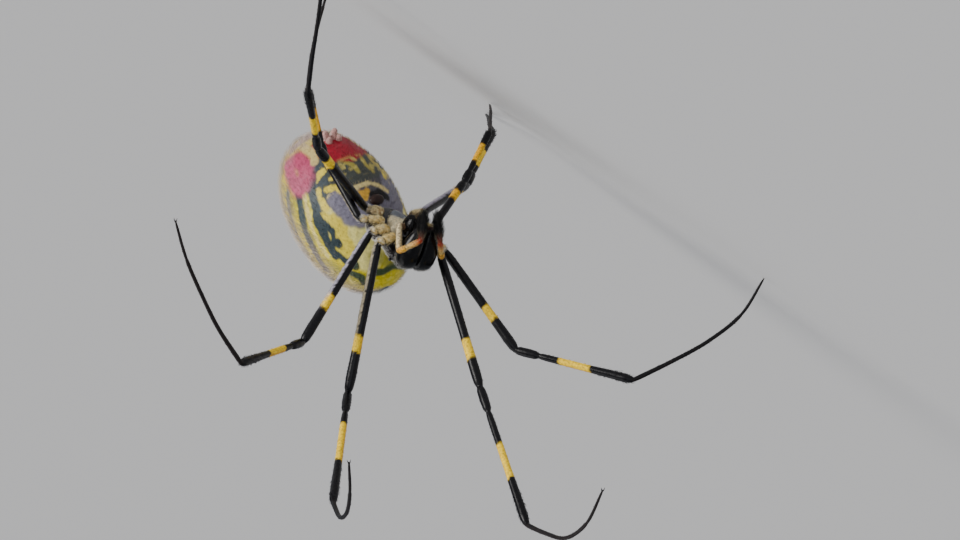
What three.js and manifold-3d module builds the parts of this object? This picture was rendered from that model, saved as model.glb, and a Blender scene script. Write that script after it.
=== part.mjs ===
// Joro spider, Trichonephila clavata, adult female, life size, as a still model in millimetres, +Z up.
// The head points to -Y. Her legs 4 and 3 and right leg 2 stand; both legs 1 and left leg 2 are raised.
import * as THREE from 'three';
import Module from 'manifold-3d';

const wasm = await Module();
wasm.setup();

// Driving sizes, mm and degrees
const GAP = 0.3;                    // left between touching nodes
const PROSOMA = {
  rear: [17.36, 25.95, 13.96],      // where the waist meets the head part
  heading: -90, pitch: 22.5, roll: 27.4,
  length: 6.5, halfWidth: 2.85,
};
const ABDOMEN = {
  centre: [14.93, 32.31, 15.81],
  heading: -118.5, pitch: 25.1, roll: 46.8,
  halfLength: 7.9, halfWidth: 5.0, halfHeight: 4.9,
};
const SPINNERET = { length: 0.75, radius: 0.36 };
const CHELICERA = { radius: 0.88, length: 3.9, top: -0.25 };
const PALP_RADIUS = 0.27;
const EYE_RADIUS = 0.17;
const SOLE_HEIGHT = 0.36;           // where a standing foot turns down to its sole

// Radii of the leg segments: coxa, femur, tibia, metatarsus, tarsus
const GIRTH = {
  1: { coxa: 0.5, femur: 0.44, tibia: 0.37, metatarsus: 0.27, tarsus: 0.21 },
  2: { coxa: 0.5, femur: 0.43, tibia: 0.36, metatarsus: 0.27, tarsus: 0.21 },
  3: { coxa: 0.45, femur: 0.37, tibia: 0.32, metatarsus: 0.25, tarsus: 0.2 },
  4: { coxa: 0.49, femur: 0.42, tibia: 0.35, metatarsus: 0.26, tarsus: 0.21 },
};

// Each leg: root (where the coxa leaves the breastplate) and hip (where the femur starts), as
// [forward, outward, down] from the prosoma's rear, then [length, azimuth, elevation] of each span.
// knee is the length of the patella, the first part of the second span.
const LEGS = {
  left_1: { root: [5.15, 1.5, 1.15], hip: [5.63, 3.22, 0.62], knee: 2.6, stands: false,
    femur: [13.35, -151.8, 65.3], shank: [14.6, -67.3, 37.6],
    foot: [[4.25, -62.0, 11.0], [4.25, -48.0, -8.0], [4.25, -33.6, -19.8], [4.25, -20.9, -27.2]] },
  left_2: { root: [4.15, 1.8, 1.15], hip: [4.39, 3.57, 0.72], knee: 2.2, stands: false,
    femur: [11.6, -61.6, 78.0], shank: [11.66, -27.1, 24.9],
    foot: [[4.2, 9.4, -17.3], [4.04, 4.7, -21.9], [3.97, 3.8, -24.3], [3.99, 4.9, -31.1]] },
  left_3: { root: [3.05, 1.85, 1.1], hip: [2.8, 4.1, 0.8], knee: 1.3, stands: true,
    femur: [7.0, 72.7, -24.2], shank: [6.3, 51.5, -41.1],
    foot: [[2.48, 47.0, -61.0], [2.48, 45.2, -66.0], [2.47, 45.2, -70.0], [2.48, 44.0, -73.0]] },
  left_4: { root: [1.95, 1.45, 1.05], hip: [0.94, 2.65, 0.6], knee: 1.8, stands: true,
    femur: [10.44, -7.3, -8.1], shank: [8.85, -20.5, -21.0],
    foot: [[3.55, -10.9, -46.5], [3.55, -9.4, -49.4], [3.55, -11.1, -45.4], [3.55, -11.5, -45.1]] },
  right_1: { root: [5.15, 1.5, 1.15], hip: [6.07, 3.02, 0.61], knee: 2.6, stands: false,
    femur: [13.2, -108.0, 36.0], shank: [14.6, -99.7, 32.1],
    foot: [[4.25, -66.9, -2.5], [4.25, -67.8, -7.4], [4.25, -54.8, -27.2], [4.25, -34.3, -44.3]] },
  right_2: { root: [4.15, 1.8, 1.15], hip: [5.38, 3.89, 0.47], knee: 2.2, stands: true,
    femur: [11.03, -120.6, 19.5], shank: [11.31, -111.2, -18.2],
    foot: [[3.92, -157.8, -59.0], [3.85, -171.4, -59.0], [3.83, -171.7, -70.0], [3.88, 22.2, -87.0]] },
  right_3: { root: [3.05, 1.85, 1.1], hip: [2.8, 3.4, 0.8], knee: 1.3, stands: true,
    femur: [6.5, 134.2, -52.8], shank: [5.6, 116.1, -66.9],
    foot: [[2.15, 125.2, -17.6], [2.15, 125.2, -17.6], [2.15, 125.2, -17.6], [2.15, 125.2, -17.6]] },
  right_4: { root: [1.95, 1.45, 1.05], hip: [0.4, 3.44, 0.59], knee: 1.8, stands: true,
    femur: [9.65, 147.3, -29.3], shank: [8.46, 127.1, -41.9],
    foot: [[3.07, 125.5, -8.0], [3.05, 129.2, -8.6], [3.05, 129.2, -8.6], [3.05, 129.2, -8.6]] },
};

// Palp joints as [forward, outward, down] from the prosoma's rear
const PALP = {
  left: { base: [4.75, 1.45, 2.2], elbow: [7.5, 2.2, 1.42], wrist: [8.15, 1.15, 3.4], tip: [6.6, 1.2, 5.5] },
  right: { base: [4.75, 1.45, 2.2], elbow: [7.6, 2.2, 1.42], wrist: [8.3, 0.75, 3.5], tip: [6.3, 0.35, 5.25] },
};

const FINISH = {
  hide: new THREE.MeshStandardMaterial({ name: 'hide', color: 0x17161c, roughness: 0.35 }),
  belly: new THREE.MeshStandardMaterial({ name: 'belly', color: 0xc9b53a, roughness: 0.55 }),
};

const rad = (deg) => deg * Math.PI / 180;
const vec = (a) => new THREE.Vector3(a[0], a[1], a[2]);
const aim = (az, el) => new THREE.Vector3(
  Math.cos(rad(el)) * Math.cos(rad(az)), Math.cos(rad(el)) * Math.sin(rad(az)), Math.sin(rad(el)));

// The forward, left and down axes of a body part with the given heading, pitch and roll
function frameOf(part) {
  const forward = aim(part.heading, part.pitch);
  const level = new THREE.Vector3(0, 0, 1).cross(forward).normalize();
  const up = forward.clone().cross(level);
  const left = level.multiplyScalar(Math.cos(rad(part.roll))).addScaledVector(up, Math.sin(rad(part.roll)));
  const down = left.clone().cross(forward);
  return { forward, left, down };
}

const head = frameOf(PROSOMA);
const rump = frameOf(ABDOMEN);

// A point of the head part from forward, left and down distances
function onHead(x, y, w) {
  return vec(PROSOMA.rear).addScaledVector(head.forward, x).addScaledVector(head.left, y)
    .addScaledVector(head.down, w);
}

function onRump(x, y, w) {
  return vec(ABDOMEN.centre).addScaledVector(rump.forward, x).addScaledVector(rump.left, y)
    .addScaledVector(rump.down, w);
}

// A closed surface through rings of equal count, with a fan over each end
function loft(rings) {
  const count = rings[0].length;
  const place = [];
  const face = [];
  for (const ring of rings) for (const p of ring) place.push(p.x, p.y, p.z);
  for (let k = 0; k + 1 < rings.length; k++) {
    for (let i = 0; i < count; i++) {
      const a = k * count + i, b = k * count + (i + 1) % count;
      face.push(a, b, b + count, a, b + count, a + count);
    }
  }
  for (const [k, flip] of [[0, true], [rings.length - 1, false]]) {
    const mid = new THREE.Vector3();
    for (const p of rings[k]) mid.add(p);
    mid.divideScalar(count);
    const c = place.length / 3;
    place.push(mid.x, mid.y, mid.z);
    for (let i = 0; i < count; i++) {
      const a = k * count + i, b = k * count + (i + 1) % count;
      if (flip) face.push(c, b, a); else face.push(c, a, b);
    }
  }
  // Faces point outwards whichever way the rings turn
  let volume = 0;
  const at = (i) => new THREE.Vector3().fromArray(place, 3 * i).sub(rings[0][0]);
  for (let i = 0; i < face.length; i += 3) volume += at(face[i]).dot(at(face[i + 1]).cross(at(face[i + 2])));
  if (volume < 0) face.reverse();
  const solid = new THREE.BufferGeometry();
  solid.setAttribute('position', new THREE.Float32BufferAttribute(place, 3));
  solid.setIndex(face);
  return solid;
}

// A tube along points with a radius at each, its rings carried along without twist.
// flat turns the last ring level, as a foot's sole.
function sweep(points, radii, sides = 10, flat = false) {
  const last = points.length - 1;
  let side = null;
  const rings = points.map((p, k) => {
    const run = new THREE.Vector3();
    if (k > 0) run.add(p.clone().sub(points[k - 1]).normalize());
    if (k < last) run.add(points[k + 1].clone().sub(p).normalize());
    run.normalize();
    if (flat && k === last) run.set(0, 0, -1);
    if (!side) side = Math.abs(run.z) > 0.9 ? new THREE.Vector3(1, 0, 0) : new THREE.Vector3(0, 0, 1);
    side = side.clone().addScaledVector(run, -side.dot(run)).normalize();
    const other = run.clone().cross(side);
    return Array.from({ length: sides }, (_, i) => {
      const t = 2 * Math.PI * i / sides;
      return p.clone().addScaledVector(side, radii[k] * Math.cos(t)).addScaledVector(other, radii[k] * Math.sin(t));
    });
  });
  return loft(rings);
}

// A straight span between two points, its radius given as [share of the length, share of the girth]
function span(from, to, girth, shape, sides) {
  const points = shape.map(([t]) => from.clone().lerp(to, t));
  return sweep(points, shape.map(([, r]) => r * girth), sides);
}

// An ellipsoid with the half sizes along three given axes
function blob(centre, axes, half, around = 16, along = 10) {
  const rings = [];
  for (let k = 1; k < along; k++) {
    const t = Math.PI * k / along;
    rings.push(Array.from({ length: around }, (_, i) => {
      const u = 2 * Math.PI * i / around;
      return centre.clone().addScaledVector(axes[0], -half[0] * Math.cos(t))
        .addScaledVector(axes[1], half[1] * Math.sin(t) * Math.cos(u))
        .addScaledVector(axes[2], half[2] * Math.sin(t) * Math.sin(u));
    }));
  }
  return loft(rings);
}

// Solid algebra on closed geometries
function solidOf(geometry) {
  const place = Float32Array.from(geometry.attributes.position.array);
  const index = Uint32Array.from(geometry.index.array);
  return new wasm.Manifold(new wasm.Mesh({ numProp: 3, vertProperties: place, triVerts: index }));
}

function surfaceOf(manifold) {
  const largest = manifold.decompose().sort((a, b) => b.volume() - a.volume())[0];
  const mesh = largest.getMesh();
  const geometry = new THREE.BufferGeometry();
  geometry.setAttribute('position', new THREE.Float32BufferAttribute(mesh.vertProperties, 3));
  geometry.setIndex(Array.from(mesh.triVerts));
  return geometry;
}

const join = (list) => list.map(solidOf).reduce((a, b) => a.add(b));
const carve = (body, tools) => tools.map(solidOf).reduce((a, b) => a.subtract(b), body);

const nodes = {};
const put = (name, geometry, finish) => { nodes[name] = { geometry, finish }; };

// Legs
const LIMB = {
  coxa: [[0, 0.55], [0.12, 0.9], [0.5, 1.0], [0.72, 0.9], [0.8, 0.82], [0.9, 0.9], [0.97, 0.82], [1, 0.5]],
  femur: [[0, 0.5], [0.015, 0.8], [0.06, 0.92], [0.3, 1.0], [0.6, 0.97], [0.8, 1.06], [0.92, 1.1], [0.98, 0.95], [1, 0.55]],
  patella: [[0, 0.55], [0.1, 0.95], [0.45, 1.1], [0.8, 1.0], [0.95, 0.85], [1, 0.6]],
  tibia: [[0, 0.6], [0.03, 0.92], [0.3, 0.97], [0.6, 1.02], [0.8, 1.17], [0.93, 1.22], [0.98, 1.0], [1, 0.55]],
};
const SOCKETS = [];

for (const [name, leg] of Object.entries(LEGS)) {
  const side = name.startsWith('left') ? 1 : -1;
  const size = GIRTH[name.slice(-1)];
  const root = onHead(leg.root[0], side * leg.root[1], leg.root[2]);
  const hip = onHead(leg.hip[0], side * leg.hip[1], leg.hip[2]);
  const knee = hip.clone().addScaledVector(aim(leg.femur[1], leg.femur[2]), leg.femur[0]);
  const shin = aim(leg.shank[1], leg.shank[2]);
  const below = knee.clone().addScaledVector(shin, leg.knee);
  const ankle = knee.clone().addScaledVector(shin, leg.shank[0]);
  const trail = [ankle];
  for (const [length, az, el] of leg.foot) {
    trail.push(trail[trail.length - 1].clone().addScaledVector(aim(az, el), length));
  }
  const tip = trail[4];
  if (leg.stands) tip.z = 0;

  // Each span stops short of the joint by half the gap
  const trim = (a, b) => {
    const run = b.clone().sub(a).normalize().multiplyScalar(GAP / 2);
    return [a.clone().add(run), b.clone().sub(run)];
  };
  const cut = (a, b, girth, shape) => { const [p, q] = trim(a, b); return span(p, q, girth, shape, 10); };
  put(`${name}_coxa`, cut(root, hip, size.coxa, LIMB.coxa), FINISH.hide);
  put(`${name}_femur`, cut(hip, knee, size.femur, LIMB.femur), FINISH.hide);
  put(`${name}_patella`, cut(knee, below, size.femur * 0.92, LIMB.patella), FINISH.hide);
  put(`${name}_tibia`, cut(below, ankle, size.tibia, LIMB.tibia), FINISH.hide);
  SOCKETS.push(span(root, hip, size.coxa + GAP, [[0, 0.6], [0.1, 1], [0.9, 1], [1, 0.8]], 10));
  SOCKETS.push(span(hip, knee, size.femur + GAP, [[0, 1], [1, 1]], 10));

  const bow = new THREE.CatmullRomCurve3(trail.slice(0, 4));
  const path = Array.from({ length: 10 }, (_, i) => bow.getPoint(i / 9));
  path[0] = trim(path[0], path[1])[0];
  path[9] = trim(path[8], path[9])[1];
  const g = size.metatarsus;
  put(`${name}_metatarsus`, sweep(path, path.map((_, i) => (i === 0 || i === 9 ? 0.65 : 1) * (g * (1.12 - 0.012 * i))), 8),
    FINISH.hide);

  const out = tip.clone().sub(trail[3]).normalize();
  const start = trail[3].clone().addScaledVector(out, GAP / 2);
  const h = size.tarsus;
  if (leg.stands) {
    // The claw end turns down to a small level sole
    const bend = new THREE.Vector3(tip.x, tip.y, SOLE_HEIGHT);
    const line = [0, 0.05, 0.5, 0.85, 1].map((t) => start.clone().lerp(bend, t));
    put(`${name}_tarsus`, sweep([...line, tip], [0.7, 1, 0.95, 0.9, 0.85, 0.85].map((r) => r * h), 8, true), FINISH.hide);
  } else {
    put(`${name}_tarsus`, span(start, tip, h, [[0, 0.7], [0.05, 1], [0.5, 0.92], [0.85, 0.72], [0.96, 0.5], [1, 0.22]], 8),
      FINISH.hide);
  }
}

// Chelicerae with their fangs
const CHELICERAE = [];
for (const [name, side] of [['left', 1], ['right', -1]]) {
  const r = CHELICERA.radius, L = CHELICERA.length;
  // [share of the length, forward, outward, share of the girth], bulging forward below the eyes
  const stations = [[0, 6.7, 0.95, 0.5], [0.07, 6.95, 0.95, 0.82], [0.2, 7.2, 0.95, 1.02], [0.4, 7.14, 0.95, 1.0],
    [0.6, 6.98, 0.88, 0.9], [0.8, 6.84, 0.74, 0.74], [0.93, 6.76, 0.62, 0.54], [1, 6.72, 0.58, 0.34]];
  const core = (drop) => stations.map(([t, x, y]) => onHead(x, side * y, CHELICERA.top + drop + L * t));
  const body = sweep(core(0), stations.map((row) => row[3] * r), 16);
  const fang = sweep([[6.72, 0.66, 3.5], [6.42, 0.66, 3.52], [6.18, 0.58, 3.32], [6.06, 0.48, 3.04], [6.02, 0.4, 2.75]]
    .map(([x, s, w]) => onHead(x, side * s, w)), [0.22, 0.2, 0.16, 0.1, 0.04], 8);
  CHELICERAE.push([body, fang]);
  SOCKETS.push(sweep(core(-0.1), stations.map((row) => row[3] * r + GAP), 16));
}
CHELICERAE.forEach((pieces, i) => put(i ? 'right_chelicera' : 'left_chelicera', surfaceOf(join(pieces)), FINISH.hide));

// Palps
for (const [name, side] of [['left', 1], ['right', -1]]) {
  const [base, elbow, wrist, tip] = ['base', 'elbow', 'wrist', 'tip'].map((k) => {
    const [x, y, w] = PALP[name][k];
    return onHead(x, side * y, w);
  });
  const trim = (a, b) => {
    const run = b.clone().sub(a).normalize().multiplyScalar(GAP / 2);
    return [a.clone().add(run), b.clone().sub(run)];
  };
  const bar = (a, b, shape) => { const [p, q] = trim(a, b); return span(p, q, PALP_RADIUS, shape, 10); };
  put(`${name}_palp_femur`, bar(base, elbow, [[0, 0.6], [0.08, 1], [0.5, 1.05], [0.92, 1], [1, 0.6]]), FINISH.hide);
  put(`${name}_palp_tibia`, bar(elbow, wrist, [[0, 0.6], [0.06, 1.05], [0.3, 1.1], [0.36, 0.95], [0.7, 1], [0.95, 0.95], [1, 0.6]]), FINISH.hide);
  put(`${name}_palp_tarsus`, bar(wrist, tip, [[0, 0.6], [0.08, 0.95], [0.5, 1], [0.85, 0.7], [1, 0.25]]), FINISH.hide);
}

// Head part: carapace, breastplate, lip and mouth plates, eyes
const CARAPACE = [ // [forward, half width, height above, depth below]
  [0, 0.55, 0.4, 0.3], [0.25, 1.25, 0.72, 0.5], [0.8, 2.0, 1.02, 0.62], [1.6, 2.6, 1.2, 0.7], [2.5, 2.85, 1.28, 0.75],
  [3.3, 2.75, 1.25, 0.75], [3.9, 2.35, 1.22, 0.72], [4.4, 1.98, 1.26, 0.7], [5.0, 1.8, 1.32, 0.65], [5.6, 1.72, 1.3, 0.6],
  [6.1, 1.58, 1.1, 0.5], [6.4, 1.28, 0.8, 0.35], [6.5, 0.85, 0.5, 0.15],
];
const shell = loft(CARAPACE.map(([x, wide, high, deep]) => Array.from({ length: 28 }, (_, i) => {
  const t = 2 * Math.PI * i / 28, c = Math.cos(t), s = Math.sin(t);
  const square = 1 / Math.pow(Math.abs(c) ** 2.3 + Math.abs(s) ** 2.3, 1 / 2.3);
  return onHead(x * PROSOMA.length / 6.5, wide * PROSOMA.halfWidth / 2.85 * c * square, (s < 0 ? high : deep) * s * square);
})));
const axes = [head.forward, head.left, head.down];
const prosomaParts = [shell, blob(onHead(3.0, 0, 0.88), axes, [1.85, 1.5, 0.62], 20, 12)];
for (const side of [1, -1]) prosomaParts.push(blob(onHead(4.75, side * 0.52, 2.05), axes, [0.85, 0.5, 1.4], 16, 12));
const EYES = [[6.36, 0.32, -0.5], [6.16, 0.38, -0.86], [6.02, 1.2, -0.5], [5.84, 1.34, -0.82]];
for (const side of [1, -1]) {
  for (const [x, y, w] of EYES) prosomaParts.push(blob(onHead(x, side * y, w), axes, Array(3).fill(EYE_RADIUS * 1.15), 8, 6));
}
put('prosoma', surfaceOf(carve(join(prosomaParts), SOCKETS)), FINISH.hide);

// Abdomen with spinnerets, the vent's tubercle and the plate over the opening
const plump = (t) => Math.pow(Math.sin(t), 0.94);
const rows = 30, ribs = 40;
const bulb = (more) => loft(Array.from({ length: rows - 1 }, (_, k) => {
  const t = Math.PI * (k + 1) / rows;
  return Array.from({ length: ribs }, (_, i) => {
    const u = 2 * Math.PI * i / ribs;
    return onRump(-(ABDOMEN.halfLength + more) * Math.cos(t), (ABDOMEN.halfWidth + more) * plump(t) * Math.cos(u),
      (ABDOMEN.halfHeight + more) * plump(t) * Math.sin(u));
  });
}));
const rumpAxes = [rump.forward, rump.left, rump.down];
const abdomenParts = [bulb(0), blob(onRump(1.5, 0, 4.72), rumpAxes, [0.55, 0.8, 0.42], 14, 8)];
const SPIN = [[-5.0, 0.42, 1.0], [-5.75, 0.4, 0.92], [-5.4, 0.16, 0.6]]; // [forward, outward, share of length]
for (const side of [1, -1]) {
  for (const [x, y, share] of SPIN) {
    const foot = onRump(x, side * y, 2.6);
    const way = rump.down.clone().multiplyScalar(0.86).addScaledVector(rump.forward, -0.42)
      .addScaledVector(rump.left, side * 0.1).normalize();
    const reach = 0.8 + SPINNERET.length * share;
    const r = SPINNERET.radius * (0.7 + 0.3 * share);
    abdomenParts.push(sweep([0, 0.45, 0.62, 0.66, 0.92, 1].map((t) => foot.clone().addScaledVector(way, reach * t)),
      [1.15, 1.1, 1, 0.86, 0.7, 0.4].map((s) => s * r), 10));
  }
}
abdomenParts.push(blob(onRump(-6.45, 0, 2.75), rumpAxes, [0.5, 0.45, 0.5], 10, 6));
put('abdomen', surfaceOf(join(abdomenParts)), FINISH.belly);

// Waist
const heel = onHead(-GAP, 0, 0);
const seat = onRump(3.0, 0.7, 3.95);
const stalk = span(heel, seat, 0.42, [[0, 0.85], [0.15, 1], [0.85, 1], [1, 0.85]], 12);
put('petiole', surfaceOf(carve(solidOf(stalk), [bulb(GAP)])), FINISH.hide);

// The part sits on z = 0 with the middle of its box at the origin
const group = new THREE.Group();
const box = new THREE.Box3();
for (const { geometry } of Object.values(nodes)) {
  geometry.computeBoundingBox();
  box.union(geometry.boundingBox);
}
const middle = box.getCenter(new THREE.Vector3());
for (const [name, { geometry, finish }] of Object.entries(nodes)) {
  geometry.translate(-middle.x, -middle.y, -box.min.z);
  geometry.computeVertexNormals();
  const mesh = new THREE.Mesh(geometry, finish.clone());
  mesh.name = name;
  group.add(mesh);
}

export default group;
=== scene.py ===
"""An adult female joro spider, a golden silk orb weaver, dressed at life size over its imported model."""
from __future__ import annotations

import logging
import math
from dataclasses import dataclass
from enum import IntEnum
from typing import Optional, Sequence

import bpy
import numpy as np
from mathutils import Matrix


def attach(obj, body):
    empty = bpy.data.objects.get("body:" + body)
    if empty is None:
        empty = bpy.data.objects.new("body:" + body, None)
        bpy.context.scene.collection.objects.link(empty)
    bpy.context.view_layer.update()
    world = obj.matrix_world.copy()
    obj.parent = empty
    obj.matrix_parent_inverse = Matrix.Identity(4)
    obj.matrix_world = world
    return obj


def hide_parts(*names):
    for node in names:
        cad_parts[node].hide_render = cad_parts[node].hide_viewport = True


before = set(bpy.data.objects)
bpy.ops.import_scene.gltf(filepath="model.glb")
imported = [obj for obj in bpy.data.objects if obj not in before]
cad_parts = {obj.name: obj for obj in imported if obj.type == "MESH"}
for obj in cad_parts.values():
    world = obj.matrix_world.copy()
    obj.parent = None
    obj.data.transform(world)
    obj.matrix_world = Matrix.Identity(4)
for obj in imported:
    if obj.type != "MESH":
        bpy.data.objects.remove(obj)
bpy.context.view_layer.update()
LOG = logging.getLogger("joro")

MM = 0.001  # metres
TURN = 2.0 * math.pi
Point = tuple[float, float, float]
SHIFT = np.array([-21.88574, -14.30572, 0.0])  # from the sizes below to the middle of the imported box, mm


class Side(IntEnum):
    """Which side of the body a limb grows from."""

    LEFT = 1
    RIGHT = -1


class Finish(IntEnum):
    """The material slots of the one skin."""

    CUTICLE = 0
    BELLY = 1
    CARAPACE = 2


def rgb(red: float, green: float, blue: float) -> np.ndarray:
    """Turns a display colour of 0 to 255 into a linear one.

    Args:
        red: Red, 0 to 255.
        green: Green, 0 to 255.
        blue: Blue, 0 to 255.

    Returns:
        The linear colour as three numbers.
    """
    part = np.array([red, green, blue], float) / 255.0
    return np.where(part <= 0.04045, part / 12.92, ((part + 0.055) / 1.055) ** 2.4)


def aim(azimuth: float, elevation: float) -> np.ndarray:
    """Gives the direction of an azimuth and an elevation in degrees.

    Args:
        azimuth: Degrees from +X towards +Y.
        elevation: Degrees above the floor.

    Returns:
        The unit vector.
    """
    a, e = math.radians(azimuth), math.radians(elevation)
    return np.array([math.cos(e) * math.cos(a), math.cos(e) * math.sin(a), math.sin(e)])


def unit(v: np.ndarray) -> np.ndarray:
    """Scales vectors on the last axis to length one."""
    return v / np.maximum(np.linalg.norm(v, axis=-1, keepdims=True), 1e-12)


def ease(low: float, high: float, value: np.ndarray) -> np.ndarray:
    """Rises smoothly from 0 at low to 1 at high, or falls where high is the lower.

    Args:
        low: Value where the result is 0.
        high: Value where the result is 1.
        value: What is read.

    Returns:
        The eased share.
    """
    t = np.clip((value - low) / (high - low), 0.0, 1.0)
    return t * t * (3.0 - 2.0 * t)


def blend(base: np.ndarray, over: np.ndarray, share: np.ndarray) -> np.ndarray:
    """Lays one colour over another.

    Args:
        base: Colours below, on the last axis.
        over: Colour or colours above.
        share: How much of the upper shows, without the colour axis.

    Returns:
        The mixed colours.
    """
    return base + (over - base) * share[..., None]


def relax(rows: np.ndarray, times: int) -> None:
    """Smooths the inner rows of a list in place.

    Args:
        rows: Values or points in order.
        times: How often.
    """
    for _ in range(times):
        rows[1:-1] = 0.25 * rows[:-2] + 0.5 * rows[1:-1] + 0.25 * rows[2:]


def follow(at: np.ndarray, stops: Sequence[float], rows: Sequence[Sequence[float]]) -> np.ndarray:
    """Reads each column of a table between its stops.

    Args:
        at: Where to read.
        stops: Place of each row.
        rows: The table.

    Returns:
        A row of values for each place read.
    """
    return np.stack([np.interp(at, stops, column) for column in np.array(rows, float).T], -1)


def ball(margin: float, rows: int, cols: int) -> tuple[np.ndarray, np.ndarray, np.ndarray]:
    """Gives a unit sphere as rings about its first axis.

    Args:
        margin: Angle left open at each pole, radians.
        rows: Number of rings.
        cols: Points of a ring.

    Returns:
        The three coordinates of its points.
    """
    t = np.linspace(margin, math.pi - margin, rows)[:, None]
    u = (TURN * np.arange(cols) / cols)[None]
    return -np.cos(t) + 0 * u, np.sin(t) * np.cos(u), np.sin(t) * np.sin(u)


def add(name: str, data: bpy.types.ID) -> bpy.types.Object:
    """Puts a mesh, lamp or camera into the scene.

    Args:
        name: Name of the object.
        data: What it shows.

    Returns:
        The object.
    """
    thing = bpy.data.objects.new(name, data)
    bpy.context.scene.collection.objects.link(thing)
    return thing


def tint_points(mesh: bpy.types.Mesh, colours: np.ndarray) -> None:
    """Writes the tint attribute.

    Args:
        mesh: The mesh.
        colours: A linear colour for each point.
    """
    shown = np.clip(colours, 0, 1)
    mesh.color_attributes.new("tint", "FLOAT_COLOR", "POINT").data.foreach_set(
        "color", np.column_stack([shown, np.ones(len(shown))]).ravel())


def noise(place: np.ndarray, size: float, seed: int) -> np.ndarray:
    """Gives smooth value noise in space.

    Args:
        place: Points in mm, on the last axis.
        size: Size of its lumps in mm.
        seed: Fixes the draw.

    Returns:
        Values from -1 to 1.
    """
    p = place / size + 100.0 + 17.3 * seed
    cell = np.floor(p).astype(np.int64)
    f = p - cell
    f = f * f * (3.0 - 2.0 * f)
    total = np.zeros(p.shape[:-1])
    for corner in range(8):
        step = np.array([corner & 1, corner >> 1 & 1, corner >> 2 & 1])
        key = cell + step
        mix = key[..., 0] * 374761393 + key[..., 1] * 668265263 + key[..., 2] * 2147483647 + seed * 974634777
        mix = (mix ^ (mix >> 13)) * 1274126177 & 0x7FFFFFFF
        mix = (mix ^ (mix >> 16)) & 0xFFFF
        share = np.prod(np.where(step == 1, f, 1.0 - f), axis=-1)
        total += share * (mix / 32767.5 - 1.0)
    return total


@dataclass(frozen=True)
class BodyFrame:
    """A body part's own axes: forward, to its left, and down through its underside."""

    origin: Point
    heading: float
    pitch: float
    roll: float

    def axes(self) -> np.ndarray:
        """Gives the part's own axes.

        Returns:
            The forward, left and down axes as rows.
        """
        forward = aim(self.heading, self.pitch)
        level = unit(np.cross([0.0, 0.0, 1.0], forward))
        up = np.cross(forward, level)
        r = math.radians(self.roll)
        left = level * math.cos(r) + up * math.sin(r)
        return np.array([forward, left, np.cross(left, forward)])

    def at(self, x: np.ndarray, y: np.ndarray, w: np.ndarray) -> np.ndarray:
        """Places points given along the axes.

        Args:
            x: Forward, mm.
            y: To the left, mm.
            w: Down, mm.

        Returns:
            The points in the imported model's place, mm.
        """
        x, y, w = np.broadcast_arrays(x, y, w)
        return np.stack([x, y, w], -1) @ self.axes() + np.array(self.origin) + SHIFT

    def own(self, place: np.ndarray) -> np.ndarray:
        """Reads points of the model back along the axes, mm."""
        return (place - np.array(self.origin) - SHIFT) @ self.axes().T


HEAD = BodyFrame((17.36, 25.95, 13.96), -90.0, 22.5, 27.4)
RUMP = BodyFrame((14.93, 32.31, 15.81), -118.5, 25.1, 46.8)


@dataclass
class Patch:
    """One closed surface of the skin as rings of points, with what grows on it."""

    name: str
    place: np.ndarray  # mm
    colour: np.ndarray
    rough: np.ndarray
    finish: Finish
    density: np.ndarray  # tufts a square mm
    length: np.ndarray  # of a tuft, mm
    tint: np.ndarray  # colour of the tufts
    rise: float = 30.0  # of the tufts off the skin, degrees
    corner: tuple[float, float] = (0.0, 0.0)  # its rectangle of the unwrap
    span: tuple[float, float] = (1.0, 1.0)

    @staticmethod
    def bare(name: str, place: np.ndarray, colour: np.ndarray, rough: float, finish: Finish) -> "Patch":
        """Makes a patch of one colour without hair.

        Args:
            name: Its name.
            place: Rings of points.
            colour: One colour, or one for each point.
            rough: Roughness.
            finish: Material slot.

        Returns:
            The patch.
        """
        shape = place.shape[:2]
        full = np.broadcast_to(colour, (*shape, 3)).copy()
        return Patch(name, place, full, np.full(shape, rough), finish, np.zeros(shape), np.full(shape, 0.2),
                     full.copy())

    def measure(self) -> tuple[float, float]:
        """Measures the patch for its place on the unwrap.

        Returns:
            Its widest girth and its length along the rings, mm.
        """
        girth = np.linalg.norm(self.place - np.roll(self.place, 1, axis=1), axis=-1).sum(1).max()
        long = np.linalg.norm(np.diff(self.place, axis=0), axis=-1).mean(1).sum()
        return float(girth), float(long)

    def faces(self, first: int) -> list[tuple[int, ...]]:
        """Lists the faces, turned outwards, with vertices counted from first.

        Args:
            first: Number of the patch's first vertex.

        Returns:
            The faces as tuples of vertex numbers.
        """
        rows, cols = self.place.shape[:2]
        r, c = np.meshgrid(np.arange(rows - 1), np.arange(cols), indexing="ij")
        a = first + r * cols + c
        b = first + r * cols + (c + 1) % cols
        out = np.stack([a, b, b + cols, a + cols], -1).reshape(-1, 4)
        low, high = first + rows * cols, first + rows * cols + 1
        i = np.arange(cols)
        j = (i + 1) % cols
        start = np.stack([np.full(cols, low), first + j, first + i], -1)
        last = first + (rows - 1) * cols
        end = np.stack([np.full(cols, high), last + i, last + j], -1)
        p = self.place - self.place.mean((0, 1))
        q = np.roll(p, -1, axis=1)
        if np.einsum("rci,rci->", p[:-1], np.cross(q[:-1], q[1:])) < 0:  # the rings run the other way round
            out, start, end = out[:, ::-1], start[:, ::-1], end[:, ::-1]
        return [tuple(face) for part in (out, start, end) for face in part.tolist()]

    def atlas(self, u: np.ndarray, v: np.ndarray) -> np.ndarray:
        """Gives the place on the skin's unwrap of shares round and along the patch."""
        return np.stack([self.corner[0] + u * self.span[0], self.corner[1] + v * self.span[1]], -1)


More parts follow.
